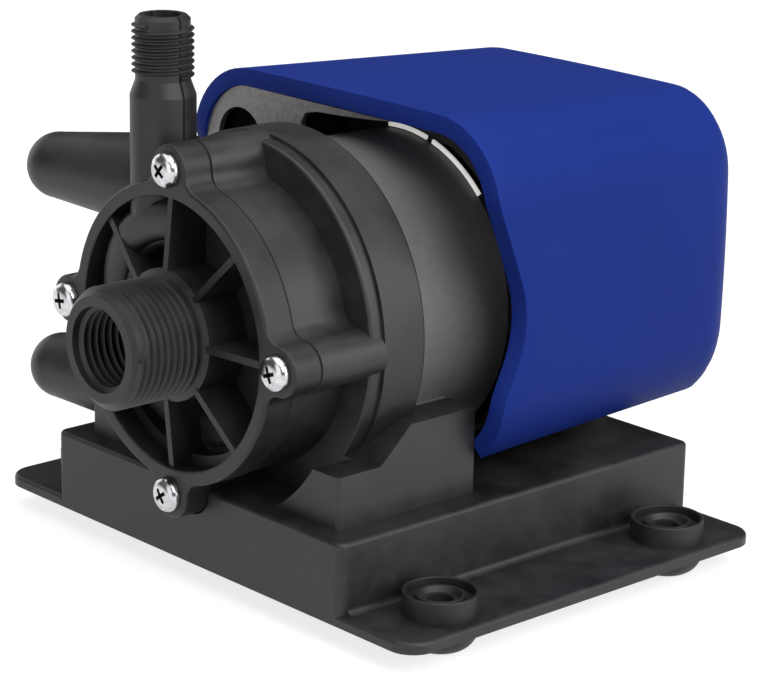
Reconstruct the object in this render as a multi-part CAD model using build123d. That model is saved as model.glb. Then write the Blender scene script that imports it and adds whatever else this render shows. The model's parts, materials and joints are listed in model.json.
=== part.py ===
"""Magnet-driven water pump of an air conditioner, built as separate pieces.

Frame: X to the right as seen from the inlet, Y from the inlet to the motor, Z up. The origin is the middle
of the four mounting holes, on the surface that the rubber grommets stand on. Sizes are in millimetres.
"""
import os
from math import cos, radians, sin

from build123d import *

# Clearances between pieces
SEAT_GAP = 0.1            # radial, between pieces that are pushed together
RUNNING_GAP = 0.05        # radial, shaft or spindle in its bush
FREE_GAP = 0.4            # between pieces that must stay apart
SCREW_END_GAP = 1.0       # between the point of a screw and the bottom of its hole

# Allowances for merging and cutting shapes
OVERLAP = 0.5             # how far merged shapes reach into each other
OVERCUT = 1.0             # how far cuts reach past the faces that they open
BEYOND = 300.0            # longer than any piece, for cuts that go right across

# Base plate: a hat section with a flange on both sides
BASE_LENGTH = 107.0
FLANGE_REACH = 21.5       # beyond each side of the box
HOLE_REACH = 10.5         # from the side of the box to the middle of a mounting hole
HOLE_SETBACK = 18.5       # from the end of the base to the middle of a mounting hole
FLANGE_THICKNESS = 2.5
FLANGE_CORNER = 6.0
BOX_WIDTH = 99.0
BOX_RISE = 18.4           # top of the box above the underside of the flange
BOX_CORNER = 2.0
BASE_WALL = 2.5
BASE_EDGE = 1.0
FLANGE_ROUND = 0.9        # along the upper edge of the flange
FLANGE_FILLET = 1.4       # between the flange and the sides of the box
BASE_RIB = 2.0

# Rubber grommets in the flange
GROMMET_RADIUS = 8.2
GROMMET_NECK = 6.0
GROMMET_RISE = 4.8        # above the flange
GROMMET_DROP = 5.4        # below the flange
GROMMET_HOLE = 2.75
GROMMET_LIP = 0.8
GROMMET_RING = 5.4
GROMMET_DISH_DEPTH = 2.0
GROMMET_FOOT = 4.2

# Pump axis and the planes across it
AXIS_RISE = 35.2          # pump axis above the top of the base box
SEAM_SETBACK = 1.2        # seam of the pump head behind the front of the base
RIM_DEPTH = 7.4
INLET_LENGTH = 18.5
RING_LENGTH = 14.7
BAND_LENGTH = 14.9
NECK_LENGTH = 29.2

# Front housing, the ribbed volute cover
RIM_RADIUS = 33.2
RIM_WALL = 3.2
RIM_ROUND = 0.8
FLOOR_SETBACK = 9.7       # recessed floor behind the face of the rim
HOUSING_WALL = 2.5
BOSS_CIRCLE = 36.0
BOSS_RADIUS = 5.5
BOSS_BLEND = 4.0
INLET_RADIUS = 12.5
INLET_CHAMFER = 1.0
INLET_BOSS = 14.5
INLET_BOSS_RISE = 0.5     # in front of the rim
INLET_BOSS_CONE = 1.0     # length of the cone in front of the boss
INLET_BORE = 9.3
INLET_BORE_DEPTH = 15.0
WATERWAY = 8.4
COVER_RIBS = 8
COVER_RIB = 1.6
COVER_RIB_RISE = 1.0      # in front of the rim, beside the inlet
COVER_RIB_SETBACK = 0.8   # behind the face of the rim, where it meets the rim
SCROLL_INNER = 18.5
SCROLL_OUTER = 27.0
SCROLL_WALL = 1.8
SCROLL_LOW = 0.6          # lowest height of the scroll above the floor
SCROLL_HIGH = 8.0
SCROLL_ANGLE = 120.0      # where the scroll stands highest, from +X towards +Z
SCROLL_ROUND = 2.4
SPIGOT_WALL = 2.9
CHAMBER_DEPTH = 7.0
SPIDER_HUB = 4.8
SPIDER_LENGTH = 6.0
SPIDER_NOSE = 2.0
SPIDER_ARM = 1.8
SPIDER_ARMS = 3

# Outlet tube
OUTLET_X = -10.9
OUTLET_TOP = 66.7         # above the pump axis
OUTLET_TUBE = 7.15
OUTLET_THREAD = 5.95
OUTLET_THREAD_LENGTH = 13.8
OUTLET_SHOULDER = 3.3
OUTLET_CHAMFER = 0.8
OUTLET_BORE = 3.9
OUTLET_SLOT = 3.4
OUTLET_FLOOR = 1.8        # the bore's lower end above the ring of the bracket

# Screws of the housings
SCREW_RADIUS = 2.0
SCREW_HOLE = 2.2
THREAD_GAP = 0.05         # radius of a threaded hole over the radius of its screw
SCREW_HEAD = 3.9
SCREW_HEAD_HEIGHT = 2.5
SCREW_REACH = 9.0         # into the piece that holds the thread

# Bracket between the pump head and the motor
RING_RADIUS = 32.8
BAND_RADIUS = 41.0
BAND_STEP = 0.8
BAND_STEP_SETBACK = 3.2
NECK_RADIUS = 36.0
BRACKET_WALL = 3.5
SEAT_WEB = 26.0
FOOT_HALF_WIDTH = 42.5
FOOT_FRONT_SETBACK = 5.0
FOOT_LENGTH = 39.3
FOOT_LOW = 11.6
FOOT_HIGH = 19.3
FOOT_STEP = 12.0          # length of the low part
FOOT_RAMP = 8.6
SADDLE_RADIUS = 41.8
BRACKET_SCREW_X = 35.5
BRACKET_SCREW_SETBACK = 6.5

# Round-nosed side stubs of the bracket
STUB_TIP_X = -67.4
STUB_TIP_SETBACK = 7.5
STUB_OFFSET = 24.0
STUB_SLANT = 16.0
STUB_RADIUS = 7.7
STUB_GROWTH = 0.12        # radius gained for each millimetre of length
STUB_LENGTH = 42.0

# Rear housing, the wall between water and motor
PLATE_THICKNESS = 2.5
CAN_INNER = 13.8
CAN_WALL = 1.6
CAN_DEPTH = 21.5
CAN_END = 2.5
SEAL_RADIUS = 0.9
SEAL_GAP = 0.05

# Impeller on its fixed spindle
SPINDLE_RADIUS = 3.0
SPINDLE_SEAT = 3.0
WASHER_THICKNESS = 1.0
WASHER_RADIUS = 4.7
BUSH_RADIUS = 5.0
HUB_RADIUS = 6.2
HUB_REACH = 3.0           # of the hub into the impeller, from its back
IMPELLER_RADIUS = 23.0
IMPELLER_EYE = 9.5
IMPELLER_DISC = 1.2
IMPELLER_GAP = 0.8        # between the impeller and the walls of its chamber
VANES = 6
VANE_THICKNESS = 1.4
VANE_BOW = 16.0
VANE_LEAD = 1.0           # inside the eye
VANE_SETBACK = 0.5        # from the edge of the impeller
DRIVEN_RADIUS = 13.0
DRIVEN_LENGTH = 19.0

# Drive magnets on the motor shaft
MAGNET_INNER = 16.4
MAGNET_OUTER = 20.0
MAGNET_COUNT = 6
MAGNET_SPLIT = 3.0        # degrees between two magnets
CUP_RADIUS = 22.4
CUP_FLOOR = 4.0
CUP_GAP = 1.5
CUP_HUB = 9.0
CUP_HUB_LENGTH = 5.5
SET_SCREW = 1.5
SET_SCREW_SINK = 0.5      # below the outside of the hub

# Motor
SHAFT_RADIUS = 4.0
BEARING_RADIUS = 7.0
BEARING_LENGTH = 9.0
SHIELD_HALF_WIDTH = 42.0
SHIELD_TOP = 40.5
SHIELD_BOTTOM = 34.6
SHIELD_CORNER = 12.0
SHIELD_LOW = 27.3         # lower edge beside the round middle
SHIELD_LOW_CORNER = 14.3
LUG_HALF_WIDTH = 43.5     # the lug of the earth screw, in the upper left corner
LUG_TOP = 41.0
LUG_CORNER = 13.0
LUG_END = 19.0
LUG_REACH = 14.0
LUG_ROUND = 38.4          # its lower side, round about the neck
EARTH_X = 38.0
EARTH_RISE = 31.5
EARTH_POCKET = 5.4
EARTH_POCKET_DEPTH = 5.0
EARTH_SCREW_LENGTH = 6.0
EARTH_HOLE_FLOOR = 1.0    # of the lug, left behind the hole
SHIELD_DISC = 5.0
SHIELD_BOSS = 10.8
SHIELD_BOSS_REACH = 3.5
SHIELD_SCREW_CIRCLE = 24.0
SHIELD_SCREW_REACH = 7.0  # into the shield
ADAPTER_THICKNESS = 1.5
ADAPTER_RADIUS = 37.4
BOLT_X = 32.4
BOLT_HIGH = 33.0
LOW_BOLT_X = 33.5
BOLT_LOW = 19.0
BOLT_RADIUS = 2.0
BOLT_HEAD = 3.8
BOLT_HEAD_HEIGHT = 2.8
BOLT_SETBACK = 0.5        # of the bolt's end behind the front face of the shield
STATOR_RADIUS = 33.0
STATOR_LENGTH = 25.0
STATOR_SLOTS = 12
SLOT_WIDTH = 4.0
SLOT_DEPTH = 11.0
TOOTH_TIP = 2.0
AIR_GAP = 0.4
ROTOR_RADIUS = 15.0
END_RING = 3.0
END_RING_SETBACK = 1.0
END_RING_WALL = 5.0
WINDING_LENGTH = 7.0
WINDING_GAP = 0.3
LOCATING_WALL = 3.0
LOCATING_OVERLAP = 2.0
LOCATING_MARGIN = 1.5     # of the shield outside the locating ring
REAR_SHIELD_HALF_WIDTH = 38.5
REAR_SHIELD_TOP = 38.5
REAR_SHIELD_DISC = 4.0
REAR_WINDOWS = 6
WINDOW_CIRCLE = 20.25
WINDOW_LENGTH = 4.0       # between the middles of its round ends
WINDOW_WIDTH = 9.0
FAN_RADIUS = 27.0
FAN_HUB = 8.0
FAN_LENGTH = 8.0
FAN_BLADES = 7
FAN_BLADE = 1.2
FAN_PITCH = 35.0
FAN_SETBACK = 3.5

# Motor shroud
SHROUD_SETBACK = 41.7     # front of its top behind the front of the base
SHROUD_LENGTH = 89.0
SHROUD_WALL = 4.0
SHROUD_FRONT_HALF = 51.5
SHROUD_REAR_HALF = 43.8
SHROUD_FRONT_TOP = 47.2   # above the pump axis
SHROUD_REAR_TOP = 43.6
SHROUD_FLOOR = 32.5       # below the pump axis, before the bottom is cut open
SHROUD_CUT = 27.2         # below the pump axis, lower edge of the open bottom
SHROUD_CROWN = 0.6
SHROUD_BULGE = 1.5
SHROUD_TOP_CORNER = 18.0
SHROUD_LOW_CORNER = 19.5
SHROUD_REAR_EDGE = 13.5
SCOOP_TOP = 30.7          # above the pump axis, where the side edge starts to run back
SCOOP_DEPTH = 10.5        # to the corner that SCOOP_ROUND rounds off
SCOOP_MIDDLE = 3.4        # above the pump axis, the height of that corner
SCOOP_LOW = 13.6          # below the pump axis, where the side edge turns straight down
SCOOP_ROUND = 25.0
SCOOP_END_ROUND = 12.0
SHROUD_POST_X = 24.0
SHROUD_POST_RISE = 21.0
SHROUD_POST = 3.6

# Widths, heights and planes worked out from the sizes above
FLANGE_WIDTH = BOX_WIDTH + 2 * FLANGE_REACH
HOLE_SPACING_X = BOX_WIDTH + 2 * HOLE_REACH
HOLE_SPACING_Y = BASE_LENGTH - 2 * HOLE_SETBACK
FLANGE_Z = GROMMET_DROP
BOX_TOP = FLANGE_Z + BOX_RISE
AXIS_Z = BOX_TOP + AXIS_RISE
BASE_FRONT = -BASE_LENGTH / 2
SEAM_Y = BASE_FRONT + SEAM_SETBACK
RIM_Y = SEAM_Y - RIM_DEPTH
INLET_Y = RIM_Y - INLET_LENGTH
FLOOR_Y = RIM_Y + FLOOR_SETBACK
CHAMBER_Y = FLOOR_Y + HOUSING_WALL
PLATE_Y = CHAMBER_Y + CHAMBER_DEPTH
SEAT_Y = PLATE_Y + PLATE_THICKNESS
BAND_Y = SEAM_Y + RING_LENGTH
NECK_Y = BAND_Y + BAND_LENGTH
NECK_END = NECK_Y + NECK_LENGTH
FOOT_FRONT = BASE_FRONT + FOOT_FRONT_SETBACK
FOOT_REAR = FOOT_FRONT + FOOT_LENGTH
SPIGOT_RADIUS = RING_RADIUS - BRACKET_WALL + SEAT_GAP
CHAMBER_RADIUS = SPIGOT_RADIUS - SPIGOT_WALL
CAN_FLOOR_Y = PLATE_Y + CAN_DEPTH
CAN_END_Y = CAN_FLOOR_Y + CAN_END
MAGNET_FRONT = SEAT_Y + CUP_GAP
CUP_FLOOR_Y = CAN_END_Y + CUP_GAP
HUB_END_Y = CUP_FLOOR_Y + CUP_FLOOR + CUP_HUB_LENGTH
SEAT_SHIELD_Y = NECK_END + ADAPTER_THICKNESS
LUG_Y = SEAT_SHIELD_Y - LUG_REACH
SHIELD_REAR = SEAT_SHIELD_Y + SHIELD_DISC
STATOR_Y = SHIELD_REAR + WINDING_LENGTH + FREE_GAP
STATOR_END = STATOR_Y + STATOR_LENGTH
REAR_SHIELD_Y = STATOR_END + WINDING_LENGTH + FREE_GAP
REAR_SHIELD_END = REAR_SHIELD_Y + REAR_SHIELD_DISC
FAN_Y = REAR_SHIELD_END + FAN_SETBACK
SHROUD_Y = BASE_FRONT + SHROUD_SETBACK
SHROUD_END = SHROUD_Y + SHROUD_LENGTH
OUTLET_Y = SEAM_Y
WALL_Y = NECK_END - ADAPTER_THICKNESS - BRACKET_WALL - BRACKET_WALL / 2
PUMP_AXIS = Axis((0, 0, AXIS_Z), (0, 1, 0))


def turned(*points):
    """A solid turned about the pump axis from its outline, given as (Y, radius) points."""
    plane = Plane((0, 0, AXIS_Z), x_dir=(0, 1, 0), z_dir=(1, 0, 0))
    return revolve(plane * make_face(Polyline(*points, close=True)), PUMP_AXIS, 360)


def disc(radius, start, end):
    """A solid cylinder on the pump axis from one Y to another."""
    return turned((start, 0), (start, radius), (end, radius), (end, 0))


def tube(outer, inner, start, end):
    """A hollow cylinder on the pump axis from one Y to another."""
    return turned((start, inner), (start, outer), (end, outer), (end, inner))


def slab(sketch, start, end):
    """A sketch drawn about the pump axis, X to the right and Y up, as a solid from one Y to another."""
    plane = Plane((0, end, AXIS_Z), x_dir=(1, 0, 0), z_dir=(0, -1, 0))
    return extrude(plane * sketch, end - start)


def rod(radius, x, rise, start, end):
    """A cylinder along Y at a place given from the pump axis."""
    return slab(Pos(x, rise) * Circle(radius), start, end)


def upright(radius, x, y, low, high):
    """A cylinder along Z."""
    return Pos(x, y, low) * Cylinder(radius, high - low, align=(Align.CENTER, Align.CENTER, Align.MIN))


def around(piece, count, first=0.0):
    """Copies of a piece spaced evenly about the pump axis."""
    return [piece.rotate(PUMP_AXIS, -(first + 360 / count * i)) for i in range(count)]


def head_outline(radius):
    """A circle with the four screw bosses blended into it."""
    outline = Circle(radius)
    for x, rise in at_bosses(lambda x, rise: (x, rise)):
        outline += Pos(x, rise) * Circle(BOSS_RADIUS)
    return fillet(outline.vertices(), BOSS_BLEND)


def at_bosses(make):
    """What a function makes at each of the four screw bosses of the pump head."""
    return [make(BOSS_CIRCLE * cos(radians(a)), BOSS_CIRCLE * sin(radians(a))) for a in (0, 90, 180, 270)]


def pan_screw(length, head=SCREW_HEAD, height=SCREW_HEAD_HEIGHT, radius=SCREW_RADIUS):
    """A pan-head screw along +Z from its point at -length, with the head above Z = 0."""
    outline = make_face([
        Line((0, -length), (radius, -length)),
        Line((radius, -length), (radius, 0)),
        Line((radius, 0), (head, 0)),
        Line((head, 0), (head, height * 0.4)),
        ThreePointArc((head, height * 0.4), (head * 0.82, height * 0.8), (head * 0.4, height)),
        Line((head * 0.4, height), (0, height)),
        Line((0, height), (0, -length)),
    ])
    return revolve(Plane.XZ * outline, Axis.Z, 360)


def screw_along_y(x, rise, face_y, length):
    """A pan-head screw whose head lies in front of a face, pointing to +Y."""
    return Pos(x, face_y, AXIS_Z + rise) * (Rot(X=90) * pan_screw(length))


def hole_places():
    return [(sx * HOLE_SPACING_X / 2, sy * HOLE_SPACING_Y / 2) for sy in (-1, 1) for sx in (-1, 1)]


def bracket_screw_places():
    front = FOOT_FRONT + BRACKET_SCREW_SETBACK
    rear = FOOT_REAR - BRACKET_SCREW_SETBACK
    return [(sx * BRACKET_SCREW_X, y) for y in (front, rear) for sx in (-1, 1)]


def bolt_places():
    return [(sx * x, rise) for x, rise in ((LOW_BOLT_X, -BOLT_LOW), (BOLT_X, BOLT_HIGH)) for sx in (-1, 1)]


def shield_outline(half_width, top):
    """The outline of a motor shield: a rounded rectangle, with the round middle reaching down below it."""
    rounded = RectangleRounded(2 * half_width, top + SHIELD_LOW + SHIELD_LOW_CORNER, SHIELD_CORNER)
    upper = Pos(0, (top - SHIELD_LOW - SHIELD_LOW_CORNER) / 2) * rounded
    lower = RectangleRounded(2 * half_width, top + SHIELD_LOW, SHIELD_LOW_CORNER)
    upper &= Pos(0, top) * Rectangle(4 * half_width, 2 * top)
    lower = Pos(0, (top - SHIELD_LOW) / 2) * lower & Pos(0, -top) * Rectangle(4 * half_width, 2 * top)
    middle = Circle(STATOR_RADIUS + LOCATING_WALL + LOCATING_MARGIN)
    middle &= Rectangle(4 * half_width, 2 * SHIELD_BOTTOM)
    return upper + lower + middle


def base_plate():
    """The moulded hat section, open below, with a relief in front for the lower screw boss."""
    flange = extrude(RectangleRounded(FLANGE_WIDTH, BASE_LENGTH, FLANGE_CORNER), FLANGE_THICKNESS)
    flange = fillet(flange.edges().group_by(Axis.Z)[-1], FLANGE_ROUND)
    box = extrude(RectangleRounded(BOX_WIDTH, BASE_LENGTH, BOX_CORNER), BOX_RISE)
    box = fillet(box.edges().group_by(Axis.Z)[-1], BASE_EDGE)
    hollow_size = (BOX_WIDTH - 2 * BASE_WALL, BASE_LENGTH - 2 * BASE_WALL)
    hollow = extrude(RectangleRounded(*hollow_size, BOX_CORNER / 2), BOX_RISE - BASE_WALL)
    outside = flange + box + root_fillets()
    ribs = []
    for y in (FOOT_REAR, FOOT_REAR + (BASE_LENGTH / 2 - FOOT_REAR) / 2):
        rib = Box(hollow_size[0], BASE_RIB, BOX_RISE / 2, align=(Align.CENTER, Align.CENTER, Align.MAX))
        ribs.append(Pos(0, y, BOX_RISE - BASE_WALL) * rib)
    plate = Pos(0, 0, FLANGE_Z) * (outside - hollow + ribs)
    for x, y in hole_places():
        plate -= upright(GROMMET_NECK + SEAT_GAP, x, y, 0, BOX_TOP)
    for x, y in bracket_screw_places():
        plate -= upright(SCREW_HOLE, x, y, FLANGE_Z, BOX_TOP + OVERCUT)
    relief = 2 * (BOSS_RADIUS + FREE_GAP)
    relief_length = BAND_Y + FREE_GAP - BASE_FRONT
    block = Box(relief, relief_length, BOX_RISE, align=(Align.CENTER, Align.MIN, Align.MIN))
    relief_low = AXIS_Z - BOSS_CIRCLE
    slot = Pos(0, BASE_FRONT, relief_low) * block
    slot += slab(Pos(0, -BOSS_CIRCLE) * Circle(relief / 2), BASE_FRONT, BASE_FRONT + relief_length)
    lining = Pos(0, BASE_FRONT, relief_low - relief / 2 - BASE_WALL) * Box(
        relief + 2 * BASE_WALL, relief_length + BASE_WALL, BOX_TOP - relief_low + relief / 2,
        align=(Align.CENTER, Align.MIN, Align.MIN))
    return plate + lining - slot


def root_fillets():
    """The hollow roundings between the flange and both sides of the box."""
    r = FLANGE_FILLET
    sketch = Rectangle(2 * r, 2 * r) - Pos(r, r) * Circle(r)
    length = BASE_LENGTH - 2 * BOX_CORNER
    plane = Plane((BOX_WIDTH / 2, length / 2, FLANGE_THICKNESS), x_dir=(1, 0, 0), z_dir=(0, -1, 0))
    right = extrude(plane * (sketch & Pos(r / 2, r / 2) * Rectangle(2 * r, 2 * r)), length)
    return [right, mirror(right, Plane.YZ)]


def grommet(x, y):
    """A rubber grommet: a cup with a raised ring inside it, a neck in the flange hole and a round foot."""
    above = FLANGE_Z + FLANGE_THICKNESS
    top = above + GROMMET_RISE
    r, rim, ring = GROMMET_RADIUS, GROMMET_RADIUS - GROMMET_LIP, GROMMET_RING
    floor = top - GROMMET_DISH_DEPTH
    ring_top = top - GROMMET_LIP
    outline = make_face([
        Line((GROMMET_HOLE, 0), (GROMMET_FOOT, 0)),
        ThreePointArc((GROMMET_FOOT, 0), (r * 0.87, FLANGE_Z * 0.33), (r, FLANGE_Z)),
        Line((r, FLANGE_Z), (GROMMET_NECK, FLANGE_Z)),
        Line((GROMMET_NECK, FLANGE_Z), (GROMMET_NECK, above)),
        Line((GROMMET_NECK, above), (r, above)),
        Line((r, above), (r, top)),
        Line((r, top), (rim, top)),
        Line((rim, top), (rim, floor)),
        Line((rim, floor), (ring, floor)),
        Line((ring, floor), (ring, ring_top)),
        Line((ring, ring_top), (ring - GROMMET_LIP, ring_top)),
        Line((ring - GROMMET_LIP, ring_top), (ring - 2 * GROMMET_LIP, floor)),
        Line((ring - 2 * GROMMET_LIP, floor), (GROMMET_HOLE, floor)),
        Line((GROMMET_HOLE, floor), (GROMMET_HOLE, 0)),
    ])
    body = revolve(Plane.XZ * outline, Axis.Z, 360)
    rims = body.edges().filter_by(GeomType.CIRCLE).filter_by(lambda e: e.center().Z > ring_top - 0.01)
    return Pos(x, y, 0) * fillet(rims, GROMMET_LIP * 0.3)


def side_stub(side):
    """A tapered arm with a round nose that points left and slightly forward from the bracket."""
    direction = Vector(cos(radians(STUB_SLANT)), sin(radians(STUB_SLANT)), 0)
    tip = Vector(STUB_TIP_X, BASE_FRONT + STUB_TIP_SETBACK, AXIS_Z + side * STUB_OFFSET)
    r = STUB_RADIUS
    root = r + STUB_GROWTH * (STUB_LENGTH - r)
    outline = make_face([
        ThreePointArc((0, 0), (r * (1 - cos(radians(45))), r * sin(radians(45))), (r, r)),
        Line((r, r), (STUB_LENGTH, root)),
        Line((STUB_LENGTH, root), (STUB_LENGTH, 0)),
        Line((STUB_LENGTH, 0), (0, 0)),
    ])
    plane = Plane(tip, x_dir=direction, z_dir=Vector(0, 0, 1).cross(direction).normalized())
    return revolve(plane * outline, Axis(tip, direction), 360)


def foot_block():
    """The foot under the bracket: low in front of the band, with a ramp up to its high rear part."""
    base = -AXIS_RISE
    step = FOOT_FRONT + FOOT_STEP
    profile = Polyline(
        (FOOT_FRONT, base), (FOOT_REAR, base), (FOOT_REAR, base + FOOT_HIGH),
        (step + FOOT_RAMP, base + FOOT_HIGH), (step, base + FOOT_LOW), (FOOT_FRONT, base + FOOT_LOW),
        close=True)
    plane = Plane((-FOOT_HALF_WIDTH, 0, AXIS_Z), x_dir=(0, 1, 0), z_dir=(1, 0, 0))
    block = extrude(plane * make_face(profile), 2 * FOOT_HALF_WIDTH)
    block = fillet(block.edges().filter_by(Axis.Z).group_by(Axis.Y)[0], BASE_EDGE)
    return block - disc(SADDLE_RADIUS, FOOT_FRONT - OVERCUT, BAND_Y)


def pump_bracket():
    """One moulding: screw ring with posts, stepped band, neck, foot and side stubs."""
    step_y = BAND_Y + BAND_STEP_SETBACK
    shell = turned(
        (SEAM_Y, 0), (SEAM_Y, RING_RADIUS), (BAND_Y, RING_RADIUS), (BAND_Y, BAND_RADIUS - BAND_STEP),
        (step_y, BAND_RADIUS - BAND_STEP), (step_y, BAND_RADIUS), (NECK_Y, BAND_RADIUS),
        (NECK_Y, NECK_RADIUS), (NECK_END, NECK_RADIUS), (NECK_END, 0))
    round_edges = shell.edges().filter_by(GeomType.CIRCLE)
    rims = [e for e in round_edges if e.center().Y > BAND_Y - 1 and e.radius > NECK_RADIUS + BAND_STEP]
    shell = fillet([e for e in rims if abs(e.center().Y - step_y) > 1], BAND_STEP)
    posts = slab(head_outline(RING_RADIUS), SEAM_Y, BAND_Y + BRACKET_WALL)
    block = shell + posts + foot_block() + side_stub(1) + side_stub(-1)
    below = Box(BEYOND, BEYOND, BEYOND, align=(Align.CENTER, Align.CENTER, Align.MAX))
    block -= Pos(0, 0, BOX_TOP) * below

    cavity_y = SEAT_Y + BRACKET_WALL
    cavity = turned(
        (cavity_y, 0), (cavity_y, BAND_RADIUS - BAND_STEP - BRACKET_WALL),
        (NECK_Y - BRACKET_WALL, BAND_RADIUS - BAND_STEP - BRACKET_WALL),
        (NECK_Y - BRACKET_WALL, NECK_RADIUS - BRACKET_WALL), (WALL_Y, NECK_RADIUS - BRACKET_WALL), (WALL_Y, 0))
    cavity -= Pos(0, 0, BOX_TOP + BASE_WALL) * below
    block -= cavity
    block -= disc(SPIGOT_RADIUS + SEAT_GAP, SEAM_Y, SEAT_Y)
    block -= disc(SEAT_WEB, SEAT_Y, cavity_y)
    block -= disc(SHIELD_BOSS + SEAT_GAP, WALL_Y, NECK_END)
    block -= disc(NECK_RADIUS - BRACKET_WALL, WALL_Y + BRACKET_WALL, NECK_END)

    pilot = SCREW_RADIUS + THREAD_GAP
    for hole in at_bosses(lambda x, rise: rod(pilot, x, rise, SEAM_Y, SEAM_Y + SCREW_REACH + SCREW_END_GAP)):
        block -= hole
    for x, y in bracket_screw_places():
        block -= upright(pilot, x, y, BOX_TOP, BOX_TOP + SCREW_REACH + SCREW_END_GAP)
    for hole in around(rod(SCREW_HOLE, SHIELD_SCREW_CIRCLE, 0, WALL_Y, NECK_END), 4, 45):
        block -= hole
    block -= upright(OUTLET_TUBE + FREE_GAP, OUTLET_X, OUTLET_Y, AXIS_Z + RING_RADIUS, AXIS_Z + 2 * RING_RADIUS)
    return block


def scroll_body(inner, outer, rise, gap):
    """The rising part of the scroll: a ring with a tilted front face, from its high end beside the top rib
    round the left side to its low end. Gap is how far it stays from the plane of the top rib."""
    low, high = SCROLL_LOW - SCROLL_HIGH + rise, rise
    middle, swing = (high + low) / 2, (high - low) / 2
    tilt = Vector(cos(radians(SCROLL_ANGLE)), 0, sin(radians(SCROLL_ANGLE))) * (swing / SCROLL_OUTER)
    normal = (Vector(0, -1, 0) - tilt).normalized()
    face = Plane(Vector(0, FLOOR_Y - middle, AXIS_Z), z_dir=normal)
    cutter = face * Box(BEYOND, BEYOND, BEYOND, align=(Align.CENTER, Align.CENTER, Align.MIN))
    ring = tube(outer, inner, RIM_Y - FLOOR_SETBACK, CHAMBER_Y) - cutter
    far = 2 * RIM_RADIUS
    end = radians(SCROLL_ANGLE - 180)
    right = make_face(Polyline(
        (-gap, 0), (-gap, far), (far, far), (far, far * sin(end)), (far * cos(end), far * sin(end)),
        close=True))
    return ring - slab(right, RIM_Y - FLOOR_SETBACK, CHAMBER_Y)


def outlet_tube():
    """The upright outlet: thick below, a sloped shoulder and a threaded end."""
    top = AXIS_Z + OUTLET_TOP
    shoulder = top - OUTLET_THREAD_LENGTH
    low = AXIS_Z + SCROLL_INNER
    chamfer = OUTLET_CHAMFER
    outline = make_face(Polyline(
        (0, low), (OUTLET_TUBE, low), (OUTLET_TUBE, shoulder - OUTLET_SHOULDER), (OUTLET_THREAD, shoulder),
        (OUTLET_THREAD, top - chamfer), (OUTLET_THREAD - chamfer, top), (0, top), close=True))
    body = Pos(OUTLET_X, OUTLET_Y, 0) * revolve(Plane.XZ * outline, Axis.Z, 360)
    body -= disc(SCROLL_OUTER - SCROLL_WALL / 2, RIM_Y - RIM_DEPTH, SEAT_Y)
    return body - tube(RING_RADIUS + FREE_GAP, SCROLL_OUTER - SCROLL_WALL, SEAM_Y, SEAT_Y)


def front_housing():
    """The volute cover: rim, recessed floor, rising scroll, ribs, threaded inlet and outlet."""
    rim_inner = RIM_RADIUS - RIM_WALL
    body = slab(head_outline(RIM_RADIUS), RIM_Y, SEAM_Y)
    body = fillet(body.faces().sort_by(Axis.Y)[0].edges(), RIM_ROUND)
    body -= disc(rim_inner, RIM_Y, SEAM_Y)
    body = fillet(body.edges().filter_by(GeomType.CIRCLE).filter_by(
        lambda e: abs(e.center().Y - RIM_Y) < 0.01 and abs(e.radius - rim_inner) < 0.01), RIM_ROUND / 2)
    recess = SPIGOT_RADIUS - SCROLL_WALL
    body += tube(rim_inner + OVERLAP, recess, SEAM_Y - SCROLL_WALL, SEAM_Y)
    body += tube(SPIGOT_RADIUS, recess, SEAM_Y - SCROLL_WALL, CHAMBER_Y)
    body += tube(SPIGOT_RADIUS, CHAMBER_RADIUS, FLOOR_Y, PLATE_Y)
    body += disc(recess + OVERLAP, FLOOR_Y, CHAMBER_Y)
    scroll = scroll_body(SCROLL_INNER, SCROLL_OUTER, SCROLL_HIGH, 0)
    crest = scroll.edges().filter_by(lambda e: e.center().Y < FLOOR_Y - OVERLAP and e.length > SCROLL_OUTER)
    body += fillet(crest, SCROLL_ROUND)
    boss_y = RIM_Y - INLET_BOSS_RISE
    body += turned(
        (INLET_Y, 0), (INLET_Y, INLET_RADIUS - INLET_CHAMFER), (INLET_Y + INLET_CHAMFER, INLET_RADIUS),
        (boss_y - INLET_BOSS_CONE, INLET_RADIUS), (boss_y, INLET_BOSS), (FLOOR_Y + OVERLAP, INLET_BOSS),
        (FLOOR_Y + OVERLAP, 0))
    rib = Polyline(
        (INLET_RADIUS, RIM_Y - COVER_RIB_RISE), (INLET_RADIUS, FLOOR_Y), (recess + OVERLAP, FLOOR_Y),
        (recess + OVERLAP, SEAM_Y - OVERLAP), (rim_inner + OVERLAP, SEAM_Y - OVERLAP),
        (rim_inner + OVERLAP, RIM_Y + COVER_RIB_SETBACK), close=True)
    rib_plane = Plane((0, 0, AXIS_Z - COVER_RIB / 2), x_dir=(1, 0, 0), z_dir=(0, 0, 1))
    body += around(extrude(rib_plane * make_face(rib), COVER_RIB), COVER_RIBS)
    body += outlet_tube()

    body -= scroll_body(
        SCROLL_INNER + SCROLL_WALL, SCROLL_OUTER - SCROLL_WALL, SCROLL_HIGH - SCROLL_WALL, SCROLL_WALL)
    body -= disc(INLET_BORE, INLET_Y, INLET_Y + INLET_BORE_DEPTH)
    body -= disc(WATERWAY, INLET_Y, CHAMBER_Y)
    body += spider()
    for hole in at_bosses(lambda x, rise: rod(SCREW_HOLE, x, rise, RIM_Y, SEAM_Y)):
        body -= hole
    slot = Box(2 * OUTLET_BORE, OUTLET_SLOT, RING_RADIUS, align=(Align.CENTER, Align.MAX, Align.MIN))
    body -= Pos(OUTLET_X, SEAM_Y - SCROLL_WALL, AXIS_Z + SCROLL_OUTER * 0.7) * slot
    bore_low = AXIS_Z + RING_RADIUS + OUTLET_FLOOR
    body -= upright(OUTLET_BORE, OUTLET_X, OUTLET_Y, bore_low, AXIS_Z + OUTLET_TOP)
    return body


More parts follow.
